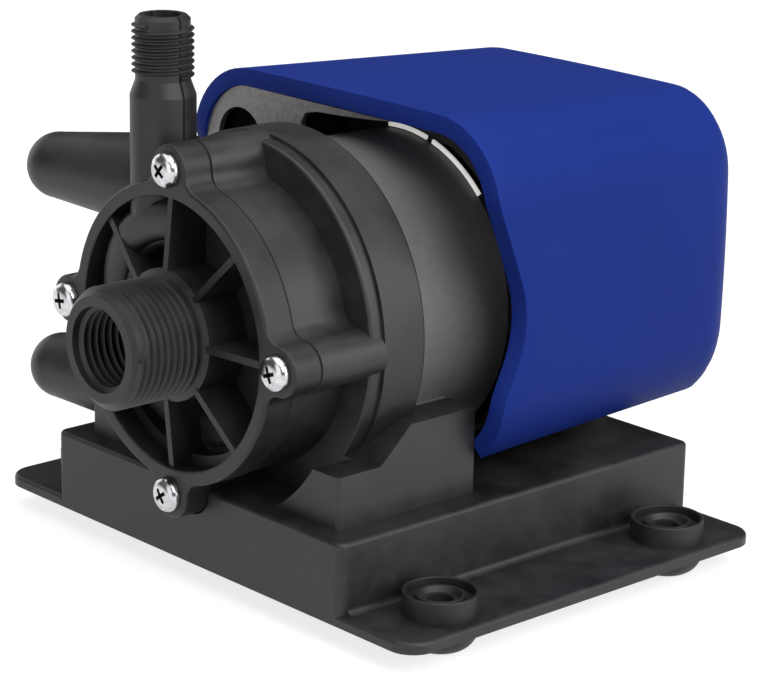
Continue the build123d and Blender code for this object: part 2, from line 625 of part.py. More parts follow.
def spider():
    """The hub in the inlet that holds the front end of the spindle, on its arms."""
    start = CHAMBER_Y - WASHER_THICKNESS - SPIDER_LENGTH
    end = start + SPIDER_LENGTH
    reach = WATERWAY - SPIDER_HUB + 2 * OVERLAP
    arm = slab(Pos((SPIDER_HUB + WATERWAY) / 2, 0) * Rectangle(reach, SPIDER_ARM), start, end)
    hub = turned((start, 0), (start + SPIDER_NOSE, SPIDER_HUB), (end, SPIDER_HUB), (end, 0))
    hub += around(arm, SPIDER_ARMS, 90)
    return hub - disc(SPINDLE_RADIUS + RUNNING_GAP, end - SPINDLE_SEAT, end)


def rear_housing():
    """The plate and can that keep the water in, with a groove for the seal and a socket for the spindle."""
    outer = CAN_INNER + CAN_WALL
    body = turned(
        (PLATE_Y, CAN_INNER), (PLATE_Y, SPIGOT_RADIUS), (SEAT_Y, SPIGOT_RADIUS), (SEAT_Y, outer),
        (CAN_END_Y, outer), (CAN_END_Y, 0), (CAN_FLOOR_Y, 0), (CAN_FLOOR_Y, CAN_INNER))
    socket_y = CAN_FLOOR_Y - SPINDLE_SEAT
    body += disc(BUSH_RADIUS, socket_y, CAN_FLOOR_Y + CAN_END / 2)
    body -= disc(SPINDLE_RADIUS + RUNNING_GAP, socket_y, CAN_FLOOR_Y)
    middle = (SPIGOT_RADIUS + CHAMBER_RADIUS) / 2
    half = SEAL_RADIUS + SEAL_GAP
    return body - tube(middle + half, middle - half, PLATE_Y, PLATE_Y + 2 * half)


def o_ring():
    """The seal, a ring of round section in the groove of the rear housing."""
    middle = (SPIGOT_RADIUS + CHAMBER_RADIUS) / 2
    return Pos(0, PLATE_Y + SEAL_RADIUS + SEAL_GAP, AXIS_Z) * (Rot(X=90) * Torus(middle, SEAL_RADIUS))


def spindle_ends():
    """Where the fixed spindle starts and ends."""
    front = CHAMBER_Y - WASHER_THICKNESS - SPINDLE_SEAT + SEAT_GAP
    return front, CAN_FLOOR_Y - SEAT_GAP


def impeller_planes():
    """Front face of the bush, front face of the impeller and back face of its rear disc."""
    return CHAMBER_Y, CHAMBER_Y + IMPELLER_GAP, PLATE_Y - IMPELLER_GAP


def bush_end():
    return CAN_FLOOR_Y - SPINDLE_SEAT - WASHER_THICKNESS - 2 * RUNNING_GAP


def vane():
    """One backward-curved vane, a piece of a ring that crosses the impeller from its eye to its edge."""
    reach = IMPELLER_RADIUS - VANE_SETBACK
    ring = Circle(VANE_BOW) - Circle(VANE_BOW - VANE_THICKNESS)
    start = IMPELLER_EYE - VANE_LEAD
    arc = Pos(start, VANE_BOW - VANE_THICKNESS) * ring
    keep = Circle(reach) - Circle(start)
    side = Pos(reach / 2 + start, 0) * Rectangle(reach, 2 * reach)
    return arc & keep & side


def impeller():
    """The closed impeller: front disc with an eye, vanes, rear disc and the sleeve that carries the magnet."""
    bush_front, front, back = impeller_planes()
    body = tube(IMPELLER_RADIUS, BUSH_RADIUS, back - IMPELLER_DISC, back)
    body += tube(IMPELLER_RADIUS, IMPELLER_EYE, front, front + IMPELLER_DISC)
    blade = slab(vane(), front + IMPELLER_DISC / 2, back - IMPELLER_DISC / 2)
    body += around(blade, VANES)
    body += tube(HUB_RADIUS, BUSH_RADIUS, back - HUB_REACH, bush_end())
    return body


def driven_magnet():
    """The magnet ring that is turned through the can by the drive magnets."""
    back = impeller_planes()[2]
    return tube(DRIVEN_RADIUS, HUB_RADIUS, back, back + DRIVEN_LENGTH - WASHER_THICKNESS - SPINDLE_SEAT)


def impeller_bush():
    return tube(BUSH_RADIUS, SPINDLE_RADIUS + RUNNING_GAP, impeller_planes()[0] + RUNNING_GAP, bush_end())


def washer(start):
    """A thrust washer on the spindle."""
    return tube(WASHER_RADIUS, SPINDLE_RADIUS + RUNNING_GAP, start, start + WASHER_THICKNESS)


def drive_hub():
    """The steel cup on the motor shaft that carries the drive magnets."""
    floor_end = CUP_FLOOR_Y + CUP_FLOOR
    body = turned(
        (MAGNET_FRONT, MAGNET_OUTER), (MAGNET_FRONT, CUP_RADIUS), (floor_end, CUP_RADIUS),
        (floor_end, CUP_HUB), (HUB_END_Y, CUP_HUB), (HUB_END_Y, SHAFT_RADIUS),
        (CUP_FLOOR_Y, SHAFT_RADIUS), (CUP_FLOOR_Y, MAGNET_OUTER))
    body -= Pos(0, (floor_end + HUB_END_Y) / 2, AXIS_Z) * upright(SET_SCREW, 0, 0, 0, CUP_HUB + OVERCUT)
    return body


def hub_set_screw():
    y = (CUP_FLOOR_Y + CUP_FLOOR + HUB_END_Y) / 2
    return Pos(0, y, AXIS_Z) * upright(SET_SCREW, 0, 0, SHAFT_RADIUS, CUP_HUB - SET_SCREW_SINK)


def drive_magnets():
    """Arc magnets in the cup, with small gaps between them."""
    ring = tube(MAGNET_OUTER, MAGNET_INNER, MAGNET_FRONT, CUP_FLOOR_Y)
    gap = slab(Pos(MAGNET_OUTER / 2, 0) * Rectangle(MAGNET_OUTER, MAGNET_OUTER * radians(MAGNET_SPLIT)),
               MAGNET_FRONT, CUP_FLOOR_Y)
    for cut in around(gap, MAGNET_COUNT, 180 / MAGNET_COUNT):
        ring -= cut
    return ring


def adapter_ring():
    """The bright spacer between the neck of the bracket and the seat in the motor shield, flat below."""
    ring = tube(ADAPTER_RADIUS, NECK_RADIUS - BRACKET_WALL, NECK_END, SEAT_SHIELD_Y)
    flat = Rectangle(4 * ADAPTER_RADIUS, 2 * SHIELD_BOTTOM)
    return ring & slab(flat, NECK_END, SEAT_SHIELD_Y)


def motor_front_shield():
    """The casting that takes the neck of the bracket: disc, spigot, bearing boss and the earth screw's lug."""
    outline = shield_outline(SHIELD_HALF_WIDTH, SHIELD_TOP)
    body = slab(outline, SEAT_SHIELD_Y, SHIELD_REAR)
    lug = RectangleRounded(2 * LUG_HALF_WIDTH, 2 * LUG_TOP, LUG_CORNER) - Circle(LUG_ROUND)
    lug &= Pos(-LUG_END - LUG_HALF_WIDTH, LUG_END + LUG_TOP) * Rectangle(2 * LUG_HALF_WIDTH, 2 * LUG_TOP)
    body += slab(lug, LUG_Y, SEAT_SHIELD_Y)
    spigot_y = WALL_Y + BRACKET_WALL
    body += disc(NECK_RADIUS - BRACKET_WALL - SEAT_GAP, spigot_y, SEAT_SHIELD_Y)
    body += disc(SHIELD_BOSS, WALL_Y - SHIELD_BOSS_REACH, spigot_y)
    body += locating_ring(outline, SHIELD_REAR, STATOR_Y + LOCATING_OVERLAP)
    for x, rise in bolt_places():
        body -= rod(BOLT_RADIUS + THREAD_GAP, x, rise, SEAT_SHIELD_Y, SHIELD_REAR)
    body -= rod(EARTH_POCKET, -EARTH_X, EARTH_RISE, LUG_Y, LUG_Y + EARTH_POCKET_DEPTH)
    earth_end = SEAT_SHIELD_Y - EARTH_HOLE_FLOOR
    body -= rod(SCREW_RADIUS + THREAD_GAP, -EARTH_X, EARTH_RISE, LUG_Y, earth_end)
    pilot_end = spigot_y + SHIELD_SCREW_REACH + SCREW_END_GAP
    pilot = rod(SCREW_RADIUS + THREAD_GAP, SHIELD_SCREW_CIRCLE, 0, spigot_y, pilot_end)
    for hole in around(pilot, 4, 45):
        body -= hole
    body -= disc(BEARING_RADIUS, WALL_Y, SHIELD_REAR)
    return body - disc(SHAFT_RADIUS + FREE_GAP, WALL_Y - SHIELD_BOSS_REACH, SHIELD_REAR)


def locating_ring(outline, start, end):
    """The ring of a shield that the stator is pushed into."""
    inner = STATOR_RADIUS + SEAT_GAP
    return tube(inner + LOCATING_WALL, inner, start, end) & slab(outline, start, end)


def motor_rear_shield():
    """The rear casting: windowed disc, bearing boss, locating ring, bolt lugs and posts for the shroud."""
    outline = shield_outline(REAR_SHIELD_HALF_WIDTH, REAR_SHIELD_TOP)
    body = slab(outline, REAR_SHIELD_Y, REAR_SHIELD_END)
    window = Pos(WINDOW_CIRCLE, 0) * SlotCenterToCenter(WINDOW_LENGTH, WINDOW_WIDTH)
    for cut in around(slab(window, REAR_SHIELD_Y, REAR_SHIELD_END), REAR_WINDOWS, 30):
        body -= cut
    body += locating_ring(outline, STATOR_END - LOCATING_OVERLAP, REAR_SHIELD_Y)
    bearing_front, bearing_rear = rear_bearing_span()
    body += disc(SHIELD_BOSS, bearing_front, bearing_rear)
    body -= disc(BEARING_RADIUS, bearing_front, bearing_rear)
    post_end = SHROUD_END - SHROUD_WALL - SEAT_GAP
    for side in (-1, 1):
        body += rod(SHROUD_POST, side * SHROUD_POST_X, SHROUD_POST_RISE, REAR_SHIELD_Y, post_end)
        pilot, pilot_y = SCREW_RADIUS + THREAD_GAP, post_end - SCREW_REACH - SCREW_END_GAP
        body -= rod(pilot, side * SHROUD_POST_X, SHROUD_POST_RISE, pilot_y, post_end)
    for x, rise in bolt_places():
        body -= rod(BOLT_RADIUS + SEAT_GAP, x, rise, REAR_SHIELD_Y, REAR_SHIELD_END)
    return body


def rear_bearing_span():
    middle = (REAR_SHIELD_Y + REAR_SHIELD_END) / 2
    return middle - BEARING_LENGTH / 2, middle + BEARING_LENGTH / 2


def bearing(start):
    return tube(BEARING_RADIUS, SHAFT_RADIUS + RUNNING_GAP, start, start + BEARING_LENGTH)


def slot_shape(shrink=0.0):
    """One winding slot: a narrow mouth is left closed by the tooth tips, so the slot is a plain pocket."""
    low = ROTOR_RADIUS + AIR_GAP + TOOTH_TIP + shrink
    high = low + SLOT_DEPTH - 2 * shrink
    return Pos((low + high) / 2, 0) * Rectangle(high - low, SLOT_WIDTH - 2 * shrink)


def stator_core():
    """The laminated ring with its winding slots."""
    body = tube(STATOR_RADIUS, ROTOR_RADIUS + AIR_GAP, STATOR_Y, STATOR_END)
    for slot in around(slab(slot_shape(), STATOR_Y, STATOR_END), STATOR_SLOTS):
        body -= slot
    return body


def windings():
    """The copper coils: one leg in each slot and a rounded ring of end turns on both sides."""
    low = ROTOR_RADIUS + AIR_GAP + TOOTH_TIP + WINDING_GAP
    high = low + SLOT_DEPTH
    body = tube(high, low, STATOR_Y - WINDING_LENGTH, STATOR_Y - WINDING_GAP)
    body += tube(high, low, STATOR_END + WINDING_GAP, STATOR_END + WINDING_LENGTH)
    body = fillet(body.edges().filter_by(GeomType.CIRCLE), WINDING_LENGTH / 4)
    leg = slab(slot_shape(WINDING_GAP), STATOR_Y - WINDING_LENGTH / 2, STATOR_END + WINDING_LENGTH / 2)
    return body + around(leg, STATOR_SLOTS)


def rotor_core():
    """The squirrel-cage rotor with its end rings."""
    outer = ROTOR_RADIUS - END_RING_SETBACK
    inner = outer - END_RING_WALL
    body = tube(ROTOR_RADIUS, SHAFT_RADIUS, STATOR_Y, STATOR_END)
    body += tube(outer, inner, STATOR_Y - END_RING, STATOR_Y)
    return body + tube(outer, inner, STATOR_END, STATOR_END + END_RING)


def cooling_fan():
    """The fan behind the rear shield: a hub with pitched blades."""
    middle = FAN_Y + FAN_LENGTH / 2
    body = tube(FAN_HUB, SHAFT_RADIUS, FAN_Y, FAN_Y + FAN_LENGTH)
    blade = Pos(FAN_RADIUS / 2 + FAN_HUB / 2, middle, AXIS_Z) * (
        Rot(X=FAN_PITCH) * Box(FAN_RADIUS, FAN_BLADE, FAN_LENGTH * 1.6))
    blade &= tube(FAN_RADIUS, FAN_HUB - OVERLAP, FAN_Y, FAN_Y + FAN_LENGTH)
    return body + around(blade, FAN_BLADES)


def through_bolts():
    """Bolts with their heads behind the rear shield, screwed into the front shield."""
    bolts = []
    for x, rise in bolt_places():
        head_end = REAR_SHIELD_END + BOLT_HEAD_HEIGHT
        head = slab(Pos(x, rise) * RegularPolygon(BOLT_HEAD, 6), REAR_SHIELD_END, head_end)
        bolts.append(head + rod(BOLT_RADIUS, x, rise, SEAT_SHIELD_Y + BOLT_SETBACK, REAR_SHIELD_END))
    return bolts


def shroud_section(y, half, top, inset):
    """The outline of the shroud at one Y: crowned top, slightly bulged sides and rounded corners."""
    half, top, low = half - inset, top - inset, SHROUD_FLOOR - inset
    shoulder = top - SHROUD_CROWN
    side, middle = half - SHROUD_BULGE, (shoulder - low) / 2
    outline = make_face([
        ThreePointArc((-side, shoulder), (0, top), (side, shoulder)),
        ThreePointArc((side, shoulder), (half, middle), (side, -low)),
        Line((side, -low), (-side, -low)),
        ThreePointArc((-side, -low), (-half, middle), (-side, shoulder)),
    ])
    high = outline.vertices().group_by(Axis.Y)[-1]
    outline = fillet(high, SHROUD_TOP_CORNER - inset)
    corners = outline.vertices().group_by(Axis.Y)[0]
    outline = fillet(corners, SHROUD_LOW_CORNER - inset)
    return Plane((0, y, AXIS_Z), x_dir=(1, 0, 0), z_dir=(0, -1, 0)) * outline


def shroud_body(inset, front, rear):
    """The closed form of the shroud, drawn in by inset, between two planes."""
    def at(y):
        t = (y - SHROUD_Y) / SHROUD_LENGTH
        half = SHROUD_FRONT_HALF + (SHROUD_REAR_HALF - SHROUD_FRONT_HALF) * t
        top = SHROUD_FRONT_TOP + (SHROUD_REAR_TOP - SHROUD_FRONT_TOP) * t
        return shroud_section(y, half, top, inset)
    body = loft([at(front), at(rear)])
    return fillet(body.faces().sort_by(Axis.Y)[-1].edges(), SHROUD_REAR_EDGE - inset)


def motor_shroud():
    """The moulded cover: open in front and below. Its side edges run back in a rounded angle, and straight
    down just behind the foot."""
    body = shroud_body(0, SHROUD_Y, SHROUD_END)
    body -= shroud_body(SHROUD_WALL, SHROUD_Y - OVERCUT, SHROUD_END - SHROUD_WALL)
    below = Box(BEYOND, BEYOND, BEYOND, align=(Align.CENTER, Align.CENTER, Align.MAX))
    body -= Pos(0, 0, AXIS_Z - SHROUD_CUT) * below
    low_y = FOOT_REAR + FREE_GAP
    ahead = SHROUD_Y - SCOOP_END_ROUND
    corner = (SHROUD_Y + SCOOP_DEPTH, SCOOP_MIDDLE)
    outline = make_face(Polyline(
        (ahead, SHROUD_FRONT_TOP), (SHROUD_Y, SHROUD_FRONT_TOP), (SHROUD_Y, SCOOP_TOP), corner,
        (low_y, -SCOOP_LOW), (low_y, -2 * SHROUD_CUT), (ahead, -2 * SHROUD_CUT), close=True))
    outline = fillet(outline.vertices().sort_by_distance(corner)[0], SCOOP_ROUND)
    turns = ((SHROUD_Y, SCOOP_TOP), (low_y, -SCOOP_LOW))
    ends = [outline.vertices().sort_by_distance(place)[0] for place in turns]
    outline = fillet(ends, SCOOP_END_ROUND)
    plane = Plane((-BEYOND / 2, 0, AXIS_Z), x_dir=(0, 1, 0), z_dir=(1, 0, 0))
    body -= extrude(plane * outline, BEYOND)
    for side in (-1, 1):
        body -= rod(SCREW_HOLE, side * SHROUD_POST_X, SHROUD_POST_RISE, SHROUD_END - 2 * SHROUD_WALL,
                    SHROUD_END + OVERCUT)
    return body


def housing_screws():
    return at_bosses(lambda x, rise: screw_along_y(x, rise, RIM_Y, RIM_DEPTH + SCREW_REACH))


def bracket_screws():
    """Screws from inside the base box up into the foot."""
    under = BOX_TOP - BASE_WALL
    screw = Rot(X=180) * pan_screw(BASE_WALL + SCREW_REACH)
    return [Pos(x, y, under) * screw for x, y in bracket_screw_places()]


def shield_screws():
    length = BRACKET_WALL + SHIELD_SCREW_REACH
    return around(screw_along_y(SHIELD_SCREW_CIRCLE, 0, WALL_Y, length), 4, 45)


def shroud_screws():
    screw = Rot(X=-90) * pan_screw(SHROUD_WALL + SCREW_REACH)
    places = [(side * SHROUD_POST_X, SHROUD_END, AXIS_Z + SHROUD_POST_RISE) for side in (-1, 1)]
    return [Pos(*place) * screw for place in places]


def save(name, pieces):
    """Writes one node, a solid or a group of separate solids."""
    pieces = pieces if isinstance(pieces, list) else [pieces]
    solids = [s for piece in pieces for s in piece.solids()]
    shape = solids[0] if len(solids) == 1 else Compound(children=solids)
    export_step(shape, f"parts/{name}.step")


def main():
    os.makedirs("parts", exist_ok=True)
    spindle_front, spindle_rear = spindle_ends()
    nodes = {
        "base_plate": base_plate(),
        "pump_bracket": pump_bracket(),
        "bracket_screws": bracket_screws(),
        "front_housing": front_housing(),
        "housing_screws": housing_screws(),
        "o_ring": o_ring(),
        "rear_housing": rear_housing(),
        "spindle": disc(SPINDLE_RADIUS, spindle_front, spindle_rear),
        "front_thrust_washer": washer(CHAMBER_Y - WASHER_THICKNESS),
        "rear_thrust_washer": washer(CAN_FLOOR_Y - SPINDLE_SEAT - WASHER_THICKNESS),
        "impeller": impeller(),
        "impeller_bush": impeller_bush(),
        "driven_magnet": driven_magnet(),
        "drive_hub": drive_hub(),
        "drive_magnets": drive_magnets(),
        "hub_set_screw": hub_set_screw(),
        "adapter_ring": adapter_ring(),
        "motor_front_shield": motor_front_shield(),
        "shield_screws": shield_screws(),
        "front_bearing": bearing(WALL_Y),
        "rear_bearing": bearing(rear_bearing_span()[0]),
        "stator_core": stator_core(),
        "windings": windings(),
        "rotor_core": rotor_core(),
        "motor_shaft": disc(SHAFT_RADIUS, CUP_FLOOR_Y, FAN_Y + FAN_LENGTH),
        "motor_rear_shield": motor_rear_shield(),
        "through_bolts": through_bolts(),
        "earth_screw": screw_along_y(-EARTH_X, EARTH_RISE, LUG_Y + EARTH_POCKET_DEPTH, EARTH_SCREW_LENGTH),
        "cooling_fan": cooling_fan(),
        "motor_shroud": motor_shroud(),
        "shroud_screws": shroud_screws(),
    }
    names = ("front_left", "front_right", "rear_left", "rear_right")
    for name, (x, y) in zip(names, hole_places()):
        nodes["grommet_" + name] = grommet(x, y)
    for name, pieces in nodes.items():
        save(name, pieces)


main()
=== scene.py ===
import json
from math import acos, atan2, cos, degrees, pi, radians, sin, sqrt

import bmesh
import bpy
from mathutils import Matrix, Vector


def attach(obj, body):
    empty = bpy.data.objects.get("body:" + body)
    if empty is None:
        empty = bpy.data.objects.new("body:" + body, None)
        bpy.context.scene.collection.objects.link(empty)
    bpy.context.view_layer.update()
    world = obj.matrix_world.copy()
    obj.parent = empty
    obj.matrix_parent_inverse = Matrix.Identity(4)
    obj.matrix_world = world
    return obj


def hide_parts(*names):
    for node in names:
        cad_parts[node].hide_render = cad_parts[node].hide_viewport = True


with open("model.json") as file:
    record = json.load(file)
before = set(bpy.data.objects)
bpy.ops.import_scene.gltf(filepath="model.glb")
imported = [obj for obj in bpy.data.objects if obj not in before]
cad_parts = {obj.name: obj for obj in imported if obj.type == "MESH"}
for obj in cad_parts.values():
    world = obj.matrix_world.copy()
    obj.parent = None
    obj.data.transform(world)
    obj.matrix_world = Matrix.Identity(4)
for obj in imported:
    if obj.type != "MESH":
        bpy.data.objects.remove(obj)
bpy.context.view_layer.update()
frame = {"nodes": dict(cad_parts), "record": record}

bl_info = {
    "name": "Magnet-driven pump",
    "version": (1, 0, 0),
    "blender": (4, 5, 0),
    "location": "3D View > Sidebar > Pump",
    "description": "Dresses the packed pump with its threads, screws, shroud and finishes, and sets the studio",
    "category": "Add Mesh",
}

MM = 0.001
AXIS_Z = 0.059           # height of the pump axis
BODY = "housing"         # the body that every piece of this script belongs to

# The pump head's finish, in metres along Y and from the pump axis
NECK_START, NECK_REACH = -0.0226, 0.0372   # where the bracket's neck starts, and a radius just outside it
NECK_SHADOW_WIDTH = 0.0008     # width of the painted shadow that the band casts on the foot of the neck
SEAM_Y, SEAM_HALF = -0.0523, 0.00016       # the joint of the pump's cover and bracket
SEAM_REACH = 0.0306      # the joint shows outside this radius
LINE_DEPTH = 0.0004      # how deep the joint and the painted shadow at the neck's foot look
BLACK_GLEAM = 0.46       # the black mouldings shine less than a polished plastic

# Relief of the surfaces, in metres. A moulded or plated grain is finer than 0.1 mm in life. It is drawn at 0.3 mm or
# more in all materials, so that it shows.
SKIN_RELIEF, PLATE_RELIEF = 0.00006, 0.00005


# Colours and nodes

def linear(code):
    """An sRGB hex colour as linear RGB."""
    parts = [int(code[i:i + 2], 16) / 255 for i in (0, 2, 4)]
    return [c / 12.92 if c <= 0.04045 else ((c + 0.055) / 1.055) ** 2.4 for c in parts]


def add(tree, kind, inputs=None, **settings):
    """Adds one node. An input is a value, an output socket to link from, or a node whose first output is linked."""
    item = tree.nodes.new(kind)
    for key, value in settings.items():
        setattr(item, key, value)
    for key, value in (inputs or {}).items():
        if isinstance(value, bpy.types.Node):
            value = value.outputs[0]
        if isinstance(value, bpy.types.NodeSocket):
            tree.links.new(value, item.inputs[key])
        else:
            item.inputs[key].default_value = value
    return item


def new_material(name):
    """A node material with an empty tree, and that tree."""
    material = bpy.data.materials.new(name)
    material.use_nodes = True
    material.node_tree.nodes.clear()
    return material, material.node_tree


def cells(size_mm):
    """The scale of a noise whose features are about a size in millimetres."""
    return 1 / (size_mm * MM)


def mottle(tree, pattern, start, end, low, high):
    """A tone that goes from one linear colour to another while a pattern goes from start to end."""
    part = add(tree, "ShaderNodeMapRange", {"Value": pattern, "From Min": start, "From Max": end})
    mix = add(tree, "ShaderNodeMix", {"Factor": part, 6: (*low, 1), 7: (*high, 1)}, data_type="RGBA")
    return mix.outputs[2]


def head_plastic(name, look, gleam):
    """The head's plastic: satin, a dark joint line round it, and a spark-eroded texture on its neck, painted pale as
    a highlight, with a painted shadow at the neck's foot.
    """
    material, tree = new_material(name)
    place = add(tree, "ShaderNodeTexCoord").outputs["Object"]
    along = add(tree, "ShaderNodeSeparateXYZ", {"Vector": place}).outputs["Y"]
    flat = add(tree, "ShaderNodeVectorMath", {0: place, 1: (1, 0, 1)}, operation="MULTIPLY")
    radial = add(tree, "ShaderNodeVectorMath", {0: flat, 1: (0, 0, AXIS_Z)}, operation="SUBTRACT")
    radius = add(tree, "ShaderNodeVectorMath", {0: radial}, operation="LENGTH").outputs["Value"]

    behind = add(tree, "ShaderNodeMath", {0: along, 1: NECK_START}, operation="GREATER_THAN")
    within = add(tree, "ShaderNodeMath", {0: radius, 1: NECK_REACH}, operation="LESS_THAN")
    on_neck = add(tree, "ShaderNodeMath", {0: behind, 1: within}, operation="MULTIPLY")
    # Painted shadow: a dark band where the neck starts, for the shade that the band casts on it.
    near_foot = add(tree, "ShaderNodeMapRange", {
        "Value": along, "From Min": NECK_START + NECK_SHADOW_WIDTH, "From Max": NECK_START + 1.6 * NECK_SHADOW_WIDTH,
        "To Min": 1.0, "To Max": 0.0})
    painted_neck_shadow = add(tree, "ShaderNodeMath", {0: on_neck, 1: near_foot}, operation="MULTIPLY")

    past_seam = add(tree, "ShaderNodeMath", {0: along, 1: SEAM_Y}, operation="SUBTRACT")
    off_seam = add(tree, "ShaderNodeMath", {0: past_seam}, operation="ABSOLUTE")
    at_seam = add(tree, "ShaderNodeMapRange", {
        "Value": off_seam, "From Min": SEAM_HALF, "From Max": 2 * SEAM_HALF, "To Min": 1.0, "To Max": 0.0})
    outside = add(tree, "ShaderNodeMath", {0: radius, 1: SEAM_REACH}, operation="GREATER_THAN")
    seam = add(tree, "ShaderNodeMath", {0: at_seam, 1: outside}, operation="MULTIPLY")
    line = add(tree, "ShaderNodeMath", {0: seam, 1: painted_neck_shadow}, operation="MAXIMUM")

    cloud = add(tree, "ShaderNodeTexNoise", {"Vector": place, "Scale": cells(9.0), "Detail": 5.0, "Roughness": 0.65})
    grain = add(tree, "ShaderNodeTexNoise", {"Vector": place, "Scale": cells(0.5), "Detail": 2.0, "Roughness": 0.6})
    speck = add(tree, "ShaderNodeTexNoise", {"Vector": place, "Scale": cells(2.2), "Detail": 4.0, "Roughness": 0.7})
    smooth_tone = mottle(tree, cloud, 0.35, 0.68, look.black, look.black_worn)
    # Painted highlight: the neck's pale tones stand in for light that the shroud keeps off it.
    neck_highlight_tone = mottle(tree, speck, 0.25, 0.75, look.neck, look.neck_highlight_speck)
    tone = add(tree, "ShaderNodeMix", {"Factor": on_neck, 6: smooth_tone, 7: neck_highlight_tone}, data_type="RGBA")
    lined = add(tree, "ShaderNodeMix", {"Factor": line, 6: tone.outputs[2], 7: (*look.joint, 1)}, data_type="RGBA")

    satin = add(tree, "ShaderNodeMapRange", {
        "Value": cloud, "From Min": 0.3, "From Max": 0.7, "To Min": 0.41, "To Max": 0.53})
    duller = add(tree, "ShaderNodeMath", {0: on_neck, 1: 0.08}, operation="MULTIPLY")
    skin = add(tree, "ShaderNodeMath", {0: satin, 1: duller}, operation="ADD")
    gloss = add(tree, "ShaderNodeMath", {0: skin, 1: line}, operation="MAXIMUM")
    sunk = add(tree, "ShaderNodeBump", {"Height": line, "Strength": 1.0, "Distance": LINE_DEPTH}, invert=True)
    relief = add(tree, "ShaderNodeBump", {
        "Height": grain, "Strength": 0.2, "Distance": SKIN_RELIEF, "Normal": sunk})
    shader = add(tree, "ShaderNodeBsdfPrincipled", {
        "Base Color": lined.outputs[2], "Roughness": gloss, "Normal": relief, "IOR": 1.5,
        "Specular IOR Level": gleam})
    add(tree, "ShaderNodeOutputMaterial", {"Surface": shader})
    return material


def moulded_plastic(name, colour, worn, roughness, grain_mm, bump, mottle_mm=6.0, spread=0.06, gleam=0.5):
    """A moulded or sintered solid: a fine skin grain, and slow cloudy changes of tone and gloss."""
    material, tree = new_material(name)
    place = add(tree, "ShaderNodeTexCoord").outputs["Object"]
    cloud = add(tree, "ShaderNodeTexNoise", {
        "Vector": place, "Scale": cells(mottle_mm), "Detail": 3.0, "Roughness": 0.55})
    grain = add(tree, "ShaderNodeTexNoise", {
        "Vector": place, "Scale": cells(grain_mm), "Detail": 2.0, "Roughness": 0.6})
    gloss = add(tree, "ShaderNodeMapRange", {
        "Value": cloud, "From Min": 0.3, "From Max": 0.7, "To Min": roughness - spread, "To Max": roughness + spread})
    relief = add(tree, "ShaderNodeBump", {"Height": grain, "Strength": bump, "Distance": SKIN_RELIEF})
    shader = add(tree, "ShaderNodeBsdfPrincipled", {
        "Base Color": mottle(tree, cloud, 0.35, 0.68, colour, worn), "Roughness": gloss, "Normal": relief,
        "IOR": 1.5, "Specular IOR Level": gleam})
    add(tree, "ShaderNodeOutputMaterial", {"Surface": shader})
    return material


def nylon(name, colour, shade):
    """Thin white nylon with a painted glow: a weak glow of its own tone, though it is no lamp."""
    material, tree = new_material(name)
    place = add(tree, "ShaderNodeTexCoord").outputs["Object"]
    stain = add(tree, "ShaderNodeTexNoise", {"Vector": place, "Scale": cells(4.0), "Detail": 3.0, "Roughness": 0.55})
    grain = add(tree, "ShaderNodeTexNoise", {"Vector": place, "Scale": cells(0.4), "Detail": 2.0, "Roughness": 0.6})
    tone = mottle(tree, stain, 0.35, 0.65, shade, colour)
    relief = add(tree, "ShaderNodeBump", {"Height": grain, "Strength": 0.1, "Distance": PLATE_RELIEF})
    # Painted light: the emission makes the nylon glow in its own tone.
    shader = add(tree, "ShaderNodeBsdfPrincipled", {
        "Base Color": tone, "Roughness": 0.4, "Normal": relief, "IOR": 1.53,
        "Emission Color": tone, "Emission Strength": 0.55})
    add(tree, "ShaderNodeOutputMaterial", {"Surface": shader})
    return material


def metal(name, colour, dark, roughness, grain_mm, bump):
    """A bare or plated metal with fine unevenness in tone and gloss."""
    material, tree = new_material(name)
    place = add(tree, "ShaderNodeTexCoord").outputs["Object"]
    cloud = add(tree, "ShaderNodeTexNoise", {
        "Vector": place, "Scale": cells(grain_mm), "Detail": 3.0, "Roughness": 0.6})
    gloss = add(tree, "ShaderNodeMapRange", {
        "Value": cloud, "From Min": 0.3, "From Max": 0.7, "To Min": roughness * 0.85, "To Max": roughness * 1.15})
    relief = add(tree, "ShaderNodeBump", {"Height": cloud, "Strength": bump, "Distance": PLATE_RELIEF})
    shader = add(tree, "ShaderNodeBsdfPrincipled", {
        "Base Color": mottle(tree, cloud, 0.3, 0.7, dark, colour), "Metallic": 1.0, "Roughness": gloss,
        "Normal": relief})
    add(tree, "ShaderNodeOutputMaterial", {"Surface": shader})
    return material


